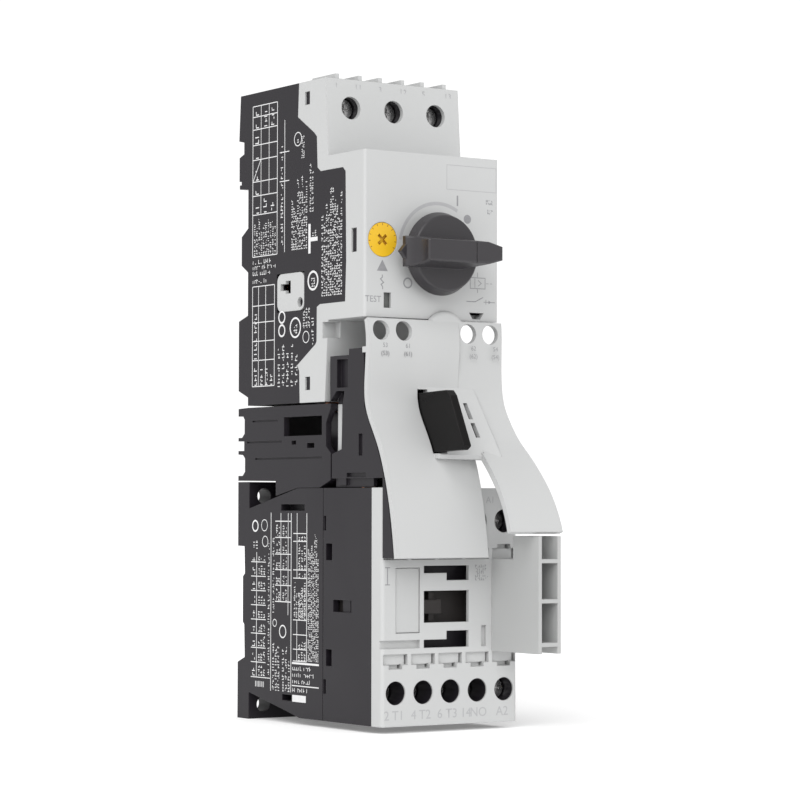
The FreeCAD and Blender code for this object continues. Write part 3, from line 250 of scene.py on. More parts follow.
def raised(material, height, depth, rounded=None):
    """Sends a height to the shader as a bump of that depth in metres, over softened corners."""
    tree = material.node_tree
    bump = tree.nodes.new("ShaderNodeBump")
    bump.inputs["Strength"].default_value, bump.inputs["Distance"].default_value = 1, depth
    tree.links.new(height, bump.inputs["Height"])
    if rounded:
        tree.links.new(rounded, bump.inputs["Normal"])
    tree.links.new(bump.outputs["Normal"], tree.nodes["Principled BSDF"].inputs["Normal"])


def moulding(name, colour, streak, rub, rubbing, dirt_and_recess_shade, dirt_and_shade_strength, gloss, grain, depth, corner=0.3,
             reach=0.002, shine=0.5):
    """Moulded plastic: a colour with flow streaks, rubbed corners, a corner tint and grain; the corner tint
    is settled dust, and painted shade on the dial.
    """
    material = bpy.data.materials.new(name)
    material.use_nodes = True
    tree = material.node_tree
    shader = tree.nodes["Principled BSDF"]
    shader.inputs["Specular IOR Level"].default_value = shine
    skin = place_effect(material, moulded_grain, Grains_per_metre=grain)
    body = tinted(material, skin.outputs["Tone"], colour, streak, 1)
    corners = place_effect(material, rubbed_corners, Width=corner * MM)
    body = tinted(material, corners.outputs["Mask"], body, rub, rubbing)
    # Tint in corners and recesses: settled dust, and painted shade on the dial.
    dust_and_shade = place_effect(material, dust_and_recess_shade, Reach=reach)
    body = tinted(material, dust_and_shade.outputs["Mask"], body, dirt_and_recess_shade, dirt_and_shade_strength)
    tree.links.new(body, shader.inputs["Base Color"])
    tree.links.new(between(material, skin.outputs["Tone"], *gloss), shader.inputs["Roughness"])
    raised(material, skin.outputs["Height"], depth, corners.outputs["Rounded"])
    return material


def finish_node(name, material):
    """Gives a CAD node its finish."""
    for slot in nodes[name].material_slots:
        slot.material = material


black_moulding = moulding(
    "black_moulding", colour=(0.0116, 0.0097, 0.0132), streak=(0.0148, 0.0127, 0.0164),
    rub=(0.06, 0.057, 0.062), rubbing=0.35, dirt_and_recess_shade=(0.032, 0.03, 0.031), dirt_and_shade_strength=0.2,
    gloss=(0.4, 0.5), grain=2200, depth=9e-6, shine=0.3)
finish_node("contactor_rear_housing", black_moulding)

# Contactor rail clip and its spring: a black slide at the foot of the rear housing, pushed up against the
# rail by a coil of drawn steel wire.
drawn_metal, given, result = effect_group(
    "drawn_metal",
    [("Marks per metre", "NodeSocketFloat", 900), ("Stretch", "NodeSocketVector", (1, 1, 0.12))],
    [("Tone", "NodeSocketFloat"), ("Height", "NodeSocketFloat")])
where = drawn_metal.nodes.new("ShaderNodeTexCoord")
pulled = drawn_metal.nodes.new("ShaderNodeVectorMath")
pulled.operation = "MULTIPLY"
scores = drawn_metal.nodes.new("ShaderNodeTexNoise")
scores.inputs["Detail"].default_value, scores.inputs["Roughness"].default_value = 3, 0.7
bloom = drawn_metal.nodes.new("ShaderNodeTexNoise")
bloom.inputs["Scale"].default_value = 160
drawn_metal.links.new(where.outputs["Object"], pulled.inputs[0])
drawn_metal.links.new(given["Stretch"], pulled.inputs[1])
drawn_metal.links.new(pulled.outputs["Vector"], scores.inputs["Vector"])
drawn_metal.links.new(given["Marks per metre"], scores.inputs["Scale"])
drawn_metal.links.new(where.outputs["Object"], bloom.inputs["Vector"])
drawn_metal.links.new(scores.outputs["Fac"], result["Height"])
drawn_metal.links.new(bloom.outputs["Fac"], result["Tone"])


def worked_metal(name, colour, dulled, gloss, marks, stretch, depth, corner=0.12):
    """Bare or plated metal: its colour with duller clouds, worn corners, tool marks and a sheen."""
    material = bpy.data.materials.new(name)
    material.use_nodes = True
    tree = material.node_tree
    shader = tree.nodes["Principled BSDF"]
    shader.inputs["Metallic"].default_value = 1
    drawn = place_effect(material, drawn_metal, Marks_per_metre=marks, Stretch=stretch)
    body = tinted(material, drawn.outputs["Tone"], colour, dulled, 1)
    corners = place_effect(material, rubbed_corners, Width=corner * MM)
    body = tinted(material, corners.outputs["Mask"], body, tuple(min(1, c * 1.3) for c in colour), 0.4)
    tree.links.new(body, shader.inputs["Base Color"])
    tree.links.new(between(material, drawn.outputs["Height"], *gloss), shader.inputs["Roughness"])
    raised(material, drawn.outputs["Height"], depth, corners.outputs["Rounded"])
    return material


spring_wire = worked_metal("spring_wire", (0.5, 0.5, 0.51), (0.38, 0.38, 0.4), (0.25, 0.38), 1500,
                           (1, 1, 1), 4e-6)
finish_node("contactor_rail_clip", black_moulding)


def springy(node):
    """Gives a coil spring its wire finish and puts a copy with its own mesh on the housing in its place."""
    finish_node(node, spring_wire)
    spring = bpy.data.objects.new(node + "_coils", nodes[node].data.copy())
    bpy.context.scene.collection.objects.link(spring)
    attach(spring, "housing")
    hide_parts(node)
    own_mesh(spring)


springy("contactor_clip_spring")

# Magnet: an E-shaped yoke and an armature of riveted silicon steel sheets. The yoke rests on a rubber pad
# that takes up the blow when the armature closes.
stacked_layers, given, result = effect_group(
    "stacked_layers",
    [("Across", "NodeSocketVector", (1, 0, 0)), ("Layers per metre", "NodeSocketFloat", 2000)],
    [("Gap", "NodeSocketFloat"), ("Height", "NodeSocketFloat")])
where = stacked_layers.nodes.new("ShaderNodeTexCoord")
depth_in = stacked_layers.nodes.new("ShaderNodeVectorMath")
depth_in.operation = "DOT_PRODUCT"
counted = stacked_layers.nodes.new("ShaderNodeMath")
counted.operation = "MULTIPLY"
swing = stacked_layers.nodes.new("ShaderNodeMath")
swing.operation, swing.inputs[1].default_value = "PINGPONG", 0.5
seam = stacked_layers.nodes.new("ShaderNodeMapRange")
seam.inputs["From Min"].default_value, seam.inputs["From Max"].default_value = 0.12, 0.03
stacked_layers.links.new(where.outputs["Object"], depth_in.inputs[0])
stacked_layers.links.new(given["Across"], depth_in.inputs[1])
stacked_layers.links.new(depth_in.outputs["Value"], counted.inputs[0])
stacked_layers.links.new(given["Layers per metre"], counted.inputs[1])
stacked_layers.links.new(counted.outputs["Value"], swing.inputs[0])
stacked_layers.links.new(swing.outputs["Value"], seam.inputs["Value"])
stacked_layers.links.new(seam.outputs["Result"], result["Gap"])
stacked_layers.links.new(swing.outputs["Value"], result["Height"])


def layered(name, colour, gap, metallic, gloss, across, layers, depth):
    """Sheets or windings laid side by side: dark gaps between them and a rounded edge on each."""
    material = bpy.data.materials.new(name)
    material.use_nodes = True
    tree = material.node_tree
    shader = tree.nodes["Principled BSDF"]
    shader.inputs["Metallic"].default_value = metallic
    pile = place_effect(material, stacked_layers, Across=across, Layers_per_metre=layers)
    wear = place_effect(material, drawn_metal, Marks_per_metre=700)
    body = tinted(material, wear.outputs["Tone"], colour, tuple(c * 0.8 for c in colour), 1)
    body = tinted(material, pile.outputs["Gap"], body, gap, 0.85)
    tree.links.new(body, shader.inputs["Base Color"])
    tree.links.new(between(material, wear.outputs["Height"], *gloss), shader.inputs["Roughness"])
    raised(material, pile.outputs["Height"], depth)
    return material


core_sheets = layered("core_sheets", (0.36, 0.36, 0.38), (0.08, 0.075, 0.07), 1, (0.35, 0.5), (1, 0, 0),
                      2000, 6e-5)
finish_node("magnet_yoke", core_sheets)
finish_node("magnet_armature", core_sheets)
soft_rubber = moulding(
    "soft_rubber", colour=(0.018, 0.018, 0.018), streak=(0.024, 0.024, 0.023), rub=(0.04, 0.04, 0.04),
    rubbing=0.3, dirt_and_recess_shade=(0.07, 0.065, 0.06), dirt_and_shade_strength=0.4, gloss=(0.7, 0.85), grain=1200, depth=2e-5)
finish_node("yoke_damping_pad", soft_rubber)

# Coil: enamelled copper wire wound in layers on a bobbin moulded in dark plastic. It slides over the
# yoke's middle limb before the housings are closed.
inner_moulding = moulding(
    "inner_moulding", colour=(0.017, 0.0145, 0.014), streak=(0.024, 0.02, 0.019), rub=(0.06, 0.055, 0.05),
    rubbing=0.35, dirt_and_recess_shade=(0.03, 0.027, 0.025), dirt_and_shade_strength=0.3, gloss=(0.48, 0.62), grain=1600, depth=1.1e-5,
    shine=0.4)
coil_wire = layered("coil_wire", (0.42, 0.13, 0.04), (0.05, 0.015, 0.008), 0.7, (0.22, 0.34), (0, 1, 0),
                    2800, 9e-5)
finish_node("coil_bobbin", inner_moulding)
finish_node("coil_winding", coil_wire)

# Contactor contacts: copper strips in both housings, and four bridges on a moulded carrier that the
# armature pulls back against two return springs.
contact_copper = worked_metal("contact_copper", (0.72, 0.36, 0.22), (0.5, 0.22, 0.13), (0.22, 0.36), 1100,
                              (0.15, 1, 1), 5e-6)
for name in ("upper_contacts", "lower_contacts", "moving_contacts", "coil_terminals"):
    finish_node(name, contact_copper)
finish_node("contact_carrier", inner_moulding)
finish_node("contact_springs", spring_wire)
springy("carrier_return_springs")

# Contactor front housing: a second black moulding, snapped to the rear one, that carries the terminals.
# Five zinc-plated screws with saddles stand in a row at each end.
screw_zinc = worked_metal("screw_zinc", (0.62, 0.61, 0.6), (0.46, 0.46, 0.47), (0.16, 0.32), 1300,
                          (1, 1, 0.3), 6e-6)
saddle_zinc = worked_metal("saddle_zinc", (0.5, 0.49, 0.46), (0.36, 0.36, 0.35), (0.3, 0.45), 1000,
                           (1, 0.2, 1), 5e-6)
finish_node("contactor_front_housing", black_moulding)
for row in ("upper", "lower"):
    finish_node(row + "_terminal_screws", screw_zinc)
    finish_node(row + "_terminal_clamps", saddle_zinc)

# Contactor face: light grey moulding over the terminals, with screw holes, clip windows and a recess for
# the label strip. Its markings are pad-printed in grey ink, a hair thicker than the skin.
light_moulding = moulding(
    "light_moulding", colour=(0.492, 0.497, 0.496), streak=(0.518, 0.523, 0.522), rub=(0.62, 0.625, 0.625),
    rubbing=0.4, dirt_and_recess_shade=(0.34, 0.335, 0.33), dirt_and_shade_strength=0.3, gloss=(0.46, 0.54), grain=2400, depth=7e-6)
finish_node("contactor_face", light_moulding)


def ink(name, colour, thin):
    """Pad-printing ink: a dull film whose cover is uneven."""
    material = bpy.data.materials.new(name)
    material.use_nodes = True
    shader = material.node_tree.nodes["Principled BSDF"]
    film = place_effect(material, moulded_grain, Grains_per_metre=5000, Flow_marks_per_metre=900)
    material.node_tree.links.new(tinted(material, film.outputs["Tone"], colour, thin, 1),
                                 shader.inputs["Base Color"])
    material.node_tree.links.new(between(material, film.outputs["Height"], 0.5, 0.62),
                                 shader.inputs["Roughness"])
    raised(material, film.outputs["Height"], 4e-6)
    return material


grey_ink = ink("grey_ink", (0.22, 0.22, 0.23), (0.3, 0.3, 0.31))
pale_ink = ink("pale_ink", (0.37, 0.37, 0.38), (0.42, 0.42, 0.43))
white_ink = ink("white_ink", (0.8, 0.8, 0.8), (0.66, 0.66, 0.665))
TO_FRONT = Matrix(((1, 0, 0), (0, 0, -1), (0, 1, 0)))
TO_LEFT = Matrix(((0, 0, -1), (-1, 0, 0), (0, 1, 0)))


def skin_at(name, start, heading):
    """Where a straight line from a point, both in millimetres, first meets a CAD node."""
    hit, spot, _, _ = nodes[name].ray_cast(Vector(start) * MM, Vector(heading))
    if not hit:
        raise RuntimeError("nothing of " + name + " there")
    return spot


def rule(points, width=0.16, closed=False):
    """One printed line through the points, in millimetres across and up, with mitred corners."""
    count = len(points)
    edges = []
    for number, (a, b) in enumerate(points):
        before, after = points[number - 1], points[(number + 1) % count]
        if not closed and number == 0:
            before = (2 * a - after[0], 2 * b - after[1])
        if not closed and number == count - 1:
            after = (2 * a - before[0], 2 * b - before[1])
        inward = Vector((a - before[0], b - before[1])).normalized()
        outward = Vector((after[0] - a, after[1] - b)).normalized()
        side = Vector((-inward.y - outward.y, inward.x + outward.x)).normalized()
        side *= width / 2 / max(0.5, side.dot(Vector((-inward.y, inward.x))))
        edges.append(((a + side.x, b + side.y), (a - side.x, b - side.y)))
    if closed:
        edges.append(edges[0])
    return [[[left, right, next_right, next_left]
             for (left, right), (next_left, next_right) in zip(edges, edges[1:])]]


def frame_rule(low, high, width=0.16):
    return rule([low, (high[0], low[1]), high, (low[0], high[1])], width, closed=True)


def arc(centre, radius, first, last, width, steps=40):
    turns = [math.radians(first + (last - first) * step / steps) for step in range(steps + 1)]
    return rule([(centre[0] + radius * math.cos(t), centre[1] + radius * math.sin(t))
                 for t in turns], width)


def patch(*corners):
    return [[list(corners)]]


def dot(centre, radius):
    return patch(*[(centre[0] + radius * math.cos(t * math.pi / 16),
                    centre[1] + radius * math.sin(t * math.pi / 16)) for t in range(32)])


def fine_print(low, high, lines, seed, tall=0.6, heavy=0.13):
    """Lines of small strokes in word-like groups, for wording too small to read."""
    chance = random.Random(seed)
    marks, drop = [], (high[1] - low[1]) / lines
    for line in range(lines):
        foot, at = high[1] - drop * (line + 1) + (drop - tall) / 2, low[0]
        end = high[0] - chance.random() * 0.3 * (high[0] - low[0])
        while at < end - tall * 0.7:
            for _ in range(chance.randint(2, 7)):
                if at > end - tall * 0.6:
                    break
                kind = chance.randint(0, 3)
                if kind != 1:
                    marks += rule([(at, foot), (at, foot + tall * chance.choice((0.75, 1)))], heavy)
                if kind:
                    lift = foot + tall * chance.choice((0.08, 0.4, 0.75))
                    marks += rule([(at + heavy / 2, lift), (at + tall * 0.5, lift)], heavy)
                at += tall * 0.85
            at += tall * 0.8
    return marks


def upright_print(low, high, lines, seed, tall=0.6, heavy=0.13):
    """The same wording turned to read from the bottom up."""
    flat = fine_print((low[1], -high[0]), (high[1], -low[0]), lines, seed, tall, heavy)
    return [[[(-b, a) for a, b in face] for face in mark] for mark in flat]


def print_on(name, origin, facing, film, marks, words=(), body="housing"):
    """One pad print: flat strokes and words set a little above the skin, facing out from it."""
    mesh = bpy.data.meshes.new(name)
    corners, faces = [], []
    for number, mark in enumerate(marks):
        lift = number % 7 * 0.0007 * MM
        for face in mark:
            faces.append(list(range(len(corners), len(corners) + len(face))))
            corners += [(a * MM, b * MM, lift) for a, b in face]
    for text, a, b, height in words:
        letters = bpy.data.curves.new(name + "_letters", "FONT")
        letters.body, letters.size = text, height / 0.7 * MM
        letters.align_x, letters.align_y = "CENTER", "CENTER"
        letters.resolution_u, letters.fill_mode = 3, "FRONT"
        typed = bpy.data.objects.new(letters.name, letters)
        flat = bpy.data.meshes.new_from_object(typed)
        faces += [[len(corners) + corner for corner in face.vertices] for face in flat.polygons]
        corners += [(a * MM + v.co.x, b * MM + v.co.y, 0) for v in flat.vertices]
        bpy.data.objects.remove(typed)
    mesh.from_pydata(corners, [], faces)
    mesh.materials.append(film)
    piece = bpy.data.objects.new(name, mesh)
    joined = piece.modifiers.new("joined", "WELD")
    joined.merge_threshold = 1e-7
    film_build = piece.modifiers.new("film", "SOLIDIFY")
    film_build.thickness, film_build.offset = 0.02 * MM, 1
    piece.matrix_world = Matrix.Translation(Vector(origin)) @ facing.to_4x4()
    bpy.context.scene.collection.objects.link(piece)
    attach(piece, body)
    return piece


face_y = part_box("contactor_face")[0][1]
face_marks = rule([(-20.7, -95), (-20.7, -90.4)], 0.3) + rule([(-21.5, -90.4), (-19.9, -90.4)], 0.25)
face_marks += rule([(-21.5, -95), (-19.9, -95)], 0.25)
face_marks += fine_print((8.4, -94.2), (13.2, -89.8), 5, 11, 0.75, 0.2)
print_on("contactor_face_print", (0, face_y, 0), TO_FRONT, grey_ink, face_marks)
print_on("contactor_terminal_print", (0, face_y, 0), TO_FRONT, pale_ink, [],
         [("2", -20.9, -130.2, 2.5), ("T1", -17.2, -130.2, 2.5), ("4", -12.1, -130.2, 2.5),
          ("T2", -8.4, -130.2, 2.5), ("6", -3.5, -130.2, 2.5), ("T3", 0.4, -130.2, 2.5),
          ("14", 5.2, -130.2, 2.5), ("NO", 9.4, -130.2, 2.5), ("A2", 17.4, -130.2, 2.5),
          ("A1", 13.4, -72.2, 1.8), ("13", 9.4, -72.2, 1.8)])

# Label strip: a plain thin slip, moulded in the same light plastic and pressed into the face's recess,
# where the user writes the circuit's name.
label_plastic = moulding(
    "label_plastic", colour=(0.465, 0.47, 0.469), streak=(0.488, 0.493, 0.492), rub=(0.62, 0.625, 0.625),
    rubbing=0.3, dirt_and_recess_shade=(0.4, 0.39, 0.38), dirt_and_shade_strength=0.3, gloss=(0.4, 0.5), grain=3000, depth=4e-6,
    corner=0.15)
finish_node("label_insert", label_plastic)

# Contactor side print: wiring tables and ratings, pad-printed in white on the left wall of both housings,
# most of it reading from the bottom up. Positions run forward from the housing's back and up from the
# rail's middle.
side_x, back_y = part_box("contactor_rear_housing")[0][0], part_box("contactor_rear_housing")[1][1]
poles = (-87.1, -89.9, -94, -98.1, -102.2, -106.3, -110.3, -114.4, -118.5, -122.8)
rear_marks = rule([(10.4, poles[0]), (10.4, poles[-1])], 0.24) + rule([(18.2, -75.8), (18.2, -126.3)], 0.26)
for number, (top, foot) in enumerate(zip(poles, poles[1:])):
    rear_marks += rule([(7.4, foot), (15.4 if foot > poles[-1] else 18.2, foot)], 0.24)
    rear_marks += upright_print((7.6, foot + 0.5), (10, top - 0.4), 1, 21 + number, 1.5, 0.26)
    rear_marks += upright_print((11, foot + 0.6), (15.2, top - 0.5), 3, 31 + number, 0.9, 0.24)
rear_marks += upright_print((16.3, -122), (17.6, -79), 1, 41, 0.9, 0.2)
ways = (-78.2, -82.8, -87.5, -91.9, -96.3, -100.9)
for foot, width in zip(ways, (0.28, 0.24, 0.24, 0.24, 0.24, 0.28)):
    rear_marks += rule([(20.5, foot), (29, foot)], width)
rear_marks += rule([(23.5, -75.9), (23.5, -100.9)], 0.22) + rule([(27.4, -75.9), (27.4, -104.6)], 0.22)
rear_marks += rule([(29, -75.9), (29, -126.2)], 0.26)
for number, (top, foot) in enumerate(zip(ways, ways[1:])):
    rear_marks += upright_print((20.8, foot + 0.4), (23.2, top - 0.4), 2, 51 + number, 0.85, 0.22)
    rear_marks += upright_print((24.2, foot + 0.4), (27, top - 0.4), 2, 61 + number, 0.8, 0.2)
rear_marks += upright_print((18.8, -104), (20.2, -80), 1, 71, 0.85, 0.2)
rear_marks += arc((20.3, -107), 1, 0, 360, 0.22) + arc((24.6, -109.3), 1.7, 0, 360, 0.36)
rear_marks += upright_print((18.8, -126), (23, -111), 3, 72, 0.95, 0.22)
rear_marks += upright_print((24, -126), (28.6, -113), 3, 73, 0.95, 0.22)
rungs = (-81.6, -83.8, -91.8, -94.1, -105.8, -109.9, -114, -117.3)
for foot in rungs:
    rear_marks += rule([(30.1, foot), (37.2, foot)], 0.24)
rear_marks += rule([(32.1, -75.9), (32.1, -94.1)], 0.22) + rule([(32.1, -105.8), (32.1, -117.3)], 0.22)
rear_marks += rule([(37.2, -75.9), (37.2, -117.3)], 0.26)
for number, (top, foot) in enumerate(zip(rungs, rungs[1:])):
    if number != 4:
        rear_marks += upright_print((32.5, foot + 0.3), (36.9, top - 0.3), 3, 81 + number, 0.85, 0.22)
rear_marks += upright_print((30.3, -105), (36.8, -94.6), 6, 91, 0.7, 0.19)
rear_marks += upright_print((37.7, -117), (43.4, -81), 7, 92, 0.62, 0.19)
rear_marks += rule([(29.6, -117.9), (43.6, -117.9)], 0.55) + rule([(29.6, -124.2), (43.6, -124.2)], 0.3)
rear_marks += fine_print((30, -123.9), (43, -118.4), 3, 93, 1.15, 0.22)
rear_marks += fine_print((30, -126.2), (40.5, -124.6), 1, 94, 1.1, 0.22)
rear_marks += arc((14.6, -79.4), 1.6, 0, 360, 0.22) + arc((15, -84), 1.5, 0, 360, 0.22)
rear_marks += arc((9.6, -79.6), 1.5, 0, 360, 0.45) + upright_print((8, -86), (11.2, -82.4), 2, 95, 1, 0.24)
rear_marks += patch((29.8, -128.7), (36.9, -128.7), (36.9, -126.8), (29.8, -126.8))
for bar, wide in enumerate((0.3, 0.12, 0.2, 0.35, 0.12, 0.3, 0.15, 0.25)):
    rear_marks += rule([(10 + bar * 0.62, -125.5), (10 + bar * 0.62, -123.9)], wide)
print_on("contactor_side_print", (side_x, back_y, 0), TO_LEFT, white_ink, rear_marks)

# Breaker base: the black rear shell of the breaker, which hooks on the rail. Below its edge a sprung clip
# slides, and two snap arms on each wall hold the front shell.
finish_node("breaker_base", black_moulding)
finish_node("breaker_rail_clip", black_moulding)
springy("breaker_clip_spring")

# Breaker contacts: fixed copper strips, a bridge per pole on a moulded carrier, and a stack of
# nickel-plated steel plates round each gap that splits the arc.
splitter_nickel = worked_metal("splitter_nickel", (0.55, 0.54, 0.51), (0.42, 0.41, 0.38), (0.25, 0.4), 1200,
                               (1, 0.15, 1), 4e-6)
for name in ("line_contacts", "load_contacts", "breaker_contact_bridges"):
    finish_node(name, contact_copper)
finish_node("breaker_contact_carrier", inner_moulding)
finish_node("breaker_contact_springs", spring_wire)
finish_node("arc_splitter_plates", splitter_nickel)

# Breaker releases: a bimetal strip and a short coil with a plunger in each pole, which push one trip bar.
# The latch sits in a bent steel frame.
bimetal_alloy = worked_metal("bimetal_alloy", (0.52, 0.45, 0.36), (0.4, 0.37, 0.33), (0.3, 0.45), 900,
                             (1, 1, 0.1), 5e-6)
trip_wire = layered("trip_wire", (0.5, 0.17, 0.06), (0.06, 0.02, 0.01), 0.8, (0.22, 0.34), (0, 0, 1),
                    700, 2e-4)
plunger_steel = worked_metal("plunger_steel", (0.42, 0.42, 0.43), (0.3, 0.3, 0.32), (0.2, 0.32), 1400,
                             (1, 1, 0.1), 4e-6)
finish_node("bimetal_strips", bimetal_alloy)
finish_node("magnetic_trip_coils", trip_wire)
for place in ("left", "middle", "right"):
    finish_node("trip_plunger_" + place, plunger_steel)
finish_node("trip_bar", inner_moulding)
finish_node("mechanism_frame", splitter_nickel)

# Breaker terminals: three screws and saddles at each end, at the bottom of moulded black tubes that keep
# a fingertip off them.
for row in ("line", "load"):
    finish_node(row + "_terminal_screws", screw_zinc)
    finish_node(row + "_terminal_clamps", saddle_zinc)
finish_node("screw_shrouds", black_moulding)

# Breaker front shell: light grey moulding with ribs on its upper step. The front print has the ON and OFF
# marks, an arrow round the knob, the mark under the dial, the word at the test slot and the circuit sign.
finish_node("breaker_cover", light_moulding)
plate_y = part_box("breaker_cover")[0][1]
plate_marks = rule([(8.5, 9.5), (8.5, 12.4)], 0.5) + dot((11.9, 6), 1.25)
plate_marks += arc((-8.2, -12.7), 1.3, 0, 360, 0.42) + patch((-18.4, -9.8), (-14.8, -9.8), (-16.6, -6.7))
plate_marks += rule([(-16.6, -10.8), (-16.6, -11.5), (-17.2, -12), (-16.2, -12.9), (-17, -13.5),
                     (-16.5, -14.1), (-16.5, -14.8)], 0.3)
plate_marks += frame_rule((12.9, -13.2), (18, -10.2), 0.2) + rule([(14.5, -13), (14.5, -10.4)], 0.18)
plate_marks += rule([(15.6, -12.5), (16.7, -11.7), (15.6, -10.9)], 0.2)
plate_marks += rule([(15.4, -10), (15.4, -8.7)], 0.2) + rule([(15.4, -13.4), (15.4, -14.4)], 0.2)
plate_marks += rule([(18.4, -11.7), (19.2, -11.7)]) + rule([(19.7, -11.7), (20.4, -11.7)])
plate_marks += rule([(11.6, -16.9), (14.6, -16.9), (17.3, -15.6)], 0.24)
plate_marks += rule([(17.5, -16.9), (21.4, -16.9)], 0.2) + rule([(18.3, -16.2), (18.3, -17.5)], 0.2)
plate_marks += patch((19.2, -17.4), (20.1, -16.9), (19.2, -16.4))
plate_marks += fine_print((18.4, 10.4), (21.4, 11.9), 2, 111, 0.55, 0.22)
plate_marks += fine_print((18.9, 7.8), (21.4, 9.2), 2, 112, 0.55, 0.22)
print_on("breaker_front_print", (0, plate_y, 0), TO_FRONT, grey_ink, plate_marks,
         [("TEST", -19.6, -17.6, 1.7)])
print_on("breaker_pale_print", (0, plate_y, 0), TO_FRONT, pale_ink,
         arc((2, -3.1), 12.9, 170, 60, 0.95) + frame_rule((4.9, 14), (21.8, 20.8), 0.14))
block_y = skin_at("breaker_cover", (-8.2, -80, 43), (0, 1, 0))[1]
print_on("line_terminal_print", (0, block_y, 0), TO_FRONT, pale_ink, [],
         [("1", -19, 43.2, 1.5), ("L1", -11.6, 43.2, 1.5), ("3", -4.3, 43.2, 1.5), ("L2", 3.6, 43.2, 1.5),
          ("5", 10.5, 43.2, 1.5), ("L3", 19.1, 43.2, 1.5)])

# Breaker side print: contact diagram and rating tables, pad-printed in white on the left walls of the
# rear shell, most of it reading from the bottom up. Plain rings stand where approvals would be.
classes = (41.4, 38.3, 34.6, 30.1, 25.8, 19.5, 15.4, 9.9, -2.2)
side_marks = rule([(7.5, 41.4), (7.5, -2.2)], 0.26) + rule([(20.9, 41.4), (20.9, -2.2)], 0.26)
side_marks += rule([(12, 41.4), (12, 9.9)], 0.22) + rule([(16.4, 41.4), (16.4, 15.4)], 0.22)
for edge in classes:
    side_marks += rule([(7.6, edge), (20.8, edge)], 0.24)
for number, (top, foot) in enumerate(zip(classes[:6], classes[1:7])):
    side_marks += upright_print((8, foot + 0.5), (11.5, top - 0.5), 1, 121 + number, 2, 0.3)
side_marks += upright_print((12.6, 35.2), (20.2, 41), 2, 131, 1.6, 0.26)
side_marks += rule([(7.7, 19.7), (11.8, 25.6)], 0.24)
side_marks += upright_print((8, 10.4), (20.4, 15), 3, 132, 1.8, 0.3)
side_marks += upright_print((8, -1.8), (20.4, 9.5), 10, 133, 0.75, 0.2)
side_marks += rule([(24.9, 35.7), (24.9, -1.9)], 0.24) + rule([(22.2, 26.6), (27.3, 26.6)], 0.26)
side_marks += rule([(22.2, 18.3), (27.3, 18.3)], 0.26)
side_marks += upright_print((22.6, 0), (24.2, 34), 1, 134, 1.2, 0.24)
side_marks += arc((31.9, 29.5), 1.9, 0, 360, 0.26)
side_marks += upright_print((31.4, 28.6), (32.4, 30.4), 1, 135, 0.8, 0.2)
side_marks += upright_print((33.6, 24), (35.4, 32), 2, 136, 0.7, 0.18)
side_marks += upright_print((28.4, -1.6), (31.4, 14), 3, 137, 0.85, 0.2)
side_marks += upright_print((31.4, -1.6), (37, 20), 5, 138, 0.85, 0.2)
side_marks += upright_print((38, 8.5), (40.2, 22.6), 2, 139, 0.85, 0.2)
side_marks += rule([(38.1, 5), (38.1, -3.3)], 1.15) + rule([(38.7, 0.6), (42.3, 0.6)], 1.15)
side_marks += upright_print((39.2, 1.6), (41.8, 4.6), 2, 140, 0.8, 0.2)
side_marks += upright_print((44.2, -15.6), (46.4, 11), 2, 141, 0.9, 0.22)
side_marks += upright_print((46.4, -15.6), (54.9, 15.4), 8, 142, 0.85, 0.22)
side_marks += fine_print((7.8, -7.8), (21.4, -2.9), 3, 143, 1.2, 0.22)
side_marks += fine_print((7.8, -10.2), (17, -8.4), 1, 144, 1.2, 0.22)
for a, width in ((7.6, 0.26), (10.9, 0.22), (14.8, 0.22), (19.6, 0.26)):
    side_marks += rule([(a, -10.8), (a, -39.6)], width)
lower = (-10.8, -16.4, -21.2, -26.6, -32.1, -39.6)
for edge in lower:
    side_marks += rule([(7.7, edge), (19.5, edge)], 0.24)
side_marks += upright_print((8, -31.6), (10.5, -12), 1, 145, 1.5, 0.26)
side_marks += upright_print((8, -39.2), (10.5, -32.6), 1, 146, 1.6, 0.28)
side_marks += upright_print((11.3, -39.2), (19.2, -32.6), 3, 147, 1.3, 0.26)
side_marks += upright_print((20.9, -40), (32.4, -26.6), 5, 148, 1.2, 0.24)
for centre, radius, heavy in (((40, -11), 2.5, 0.6), ((30.8, -23.7), 2.7, 0.5), ((23.6, -24.2), 1.6, 0.5),
                              ((23.6, -20.4), 1.6, 0.5), ((36.4, -26.6), 1.6, 0.24)):
    side_marks += arc(centre, radius, 0, 360, heavy)
side_marks += upright_print((39, -12.6), (41, -9.4), 2, 149, 0.85, 0.24)
side_marks += upright_print((29.8, -25.2), (31.8, -22.2), 2, 150, 0.8, 0.24)
side_marks += upright_print((34.6, -24.2), (38.6, -16.6), 3, 151, 0.9, 0.22)
side_marks += upright_print((39, -29), (40.6, -16), 1, 152, 1.1, 0.24)
print_on("breaker_side_print", (side_x, back_y, 0), TO_LEFT, white_ink, side_marks)

# Port plate: a small light key plate pressed into the left wall of the breaker, over the port for an
# auxiliary release.
finish_node("side_port_plate", light_moulding)

# Test slide: a grey moulded tongue behind the slot in the front plate, pushed sideways to trip the
# breaker.
slide_grey = moulding(
    "slide_grey", colour=(0.1, 0.105, 0.1), streak=(0.12, 0.125, 0.12), rub=(0.2, 0.2, 0.2), rubbing=0.3,
    dirt_and_recess_shade=(0.05, 0.05, 0.05), dirt_and_shade_strength=0.4, gloss=(0.45, 0.55), grain=1800, depth=8e-6, corner=0.15)
finish_node("test_slider", slide_grey)
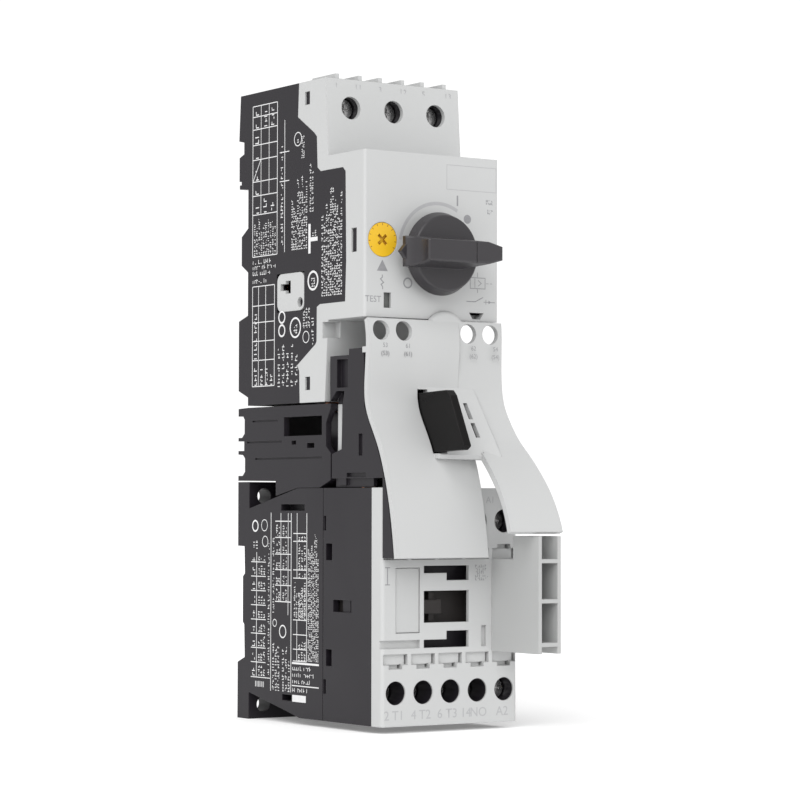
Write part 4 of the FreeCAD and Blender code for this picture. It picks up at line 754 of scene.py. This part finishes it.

# Setting dial: a yellow disc with a cross recess and a printed scale, which turns the cam that bends the
# trip point.
# The dial's deep orange tint in its cross recess and corners is painted shade, not dirt.
dial_yellow = moulding(
    "dial_yellow", colour=(0.76, 0.455, 0.016), streak=(0.8, 0.49, 0.022), rub=(0.86, 0.6, 0.08),
    rubbing=0.4, dirt_and_recess_shade=(0.28, 0.08, 0.01), dirt_and_shade_strength=0.85, gloss=(0.34, 0.44), grain=2600, depth=6e-6,
    corner=0.2, reach=0.0012)
finish_node("current_dial", dial_yellow)
finish_node("dial_cam", inner_moulding)
dial_low, dial_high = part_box("current_dial")
dial_x, dial_z = (dial_low[0] + dial_high[0]) / 2 / MM, (dial_low[2] + dial_high[2]) / 2 / MM
dial_rim = (dial_high[0] - dial_low[0]) / 2 / MM
scale_marks = []
near, far = dial_rim - 0.75, dial_rim - 0.2
for degrees in range(-30, 211, 24):
    turn = math.radians(degrees)
    scale_marks += rule([(dial_x + near * math.cos(turn), dial_z + near * math.sin(turn)),
                         (dial_x + far * math.cos(turn), dial_z + far * math.sin(turn))], 0.16)
brown_ink = ink("brown_ink", (0.13, 0.03, 0.01), (0.2, 0.06, 0.015))
print_on("dial_scale", (0, dial_low[1], 0), TO_FRONT, brown_ink, scale_marks, body="dial")

# Rotary knob: a tapered disc with a bar handle, moulded in one piece of black plastic. It is pressed on a
# moulded shaft that works the contacts.
knob_black = moulding(
    "knob_black", colour=(0.0285, 0.026, 0.0295), streak=(0.033, 0.0305, 0.034), rub=(0.08, 0.078, 0.08),
    rubbing=0.3, dirt_and_recess_shade=(0.03, 0.029, 0.03), dirt_and_shade_strength=0.2, gloss=(0.34, 0.44), grain=1900, depth=8e-6,
    corner=0.4)
finish_node("knob_shaft", inner_moulding)
finish_node("rotary_knob", knob_black)

# Adapter: an open frame moulded in black plastic. It is snapped between the breaker and the contactor and
# keeps them in line.
finish_node("adapter_frame", black_moulding)

# Link module: a black body with three copper bars from the breaker's load terminals to the contactor's
# line terminals. A light strip guides it along the adapter.
finish_node("link_module_body", black_moulding)
finish_node("link_busbars", contact_copper)
finish_node("link_guide_strip", light_moulding)

# Link cover: a curved light apron with four ports over auxiliary terminals, whose numbers are printed
# below them.
finish_node("link_cover", light_moulding)
ports = ((-18.5, "53"), (-11, "61"), (11, "62"), (18.5, "54"))
apron_y = min(skin_at("link_cover", (x, -120, -29.4 - drop), (0, 1, 0))[1] for x, _ in ports
              for drop in (0, 1, 2, 3, 4))
print_on("link_cover_print", (0, apron_y, 0), TO_FRONT, grey_ink, [],
         [(number, x + 1.2, -30.2, 1.2) for x, number in ports]
         + [("(%s)" % number, x + 1.2, -32.4, 1.2) for x, number in ports])

# Locking lever: a glossy black fin on a pin through the cover's slot, which holds the link module in
# place.
lever_black = moulding(
    "lever_black", colour=(0.0045, 0.004, 0.004), streak=(0.0065, 0.006, 0.006), rub=(0.05, 0.048, 0.048),
    rubbing=0.5, dirt_and_recess_shade=(0.01, 0.01, 0.01), dirt_and_shade_strength=0.2, gloss=(0.22, 0.32), grain=1500, depth=5e-6,
    corner=0.5, shine=0.14)
finish_node("lock_lever", lever_black)

# Cable guide: a channel of three bays moulded in light grey plastic. It is clipped to the right of the
# contactor's face and leads the control wires past it.
guide_grey = moulding(
    "guide_grey", colour=(0.415, 0.42, 0.417), streak=(0.44, 0.445, 0.442), rub=(0.6, 0.605, 0.6),
    rubbing=0.4, dirt_and_recess_shade=(0.3, 0.295, 0.29), dirt_and_shade_strength=0.3, gloss=(0.46, 0.54), grain=2400, depth=7e-6)
finish_node("cable_guide", guide_grey)
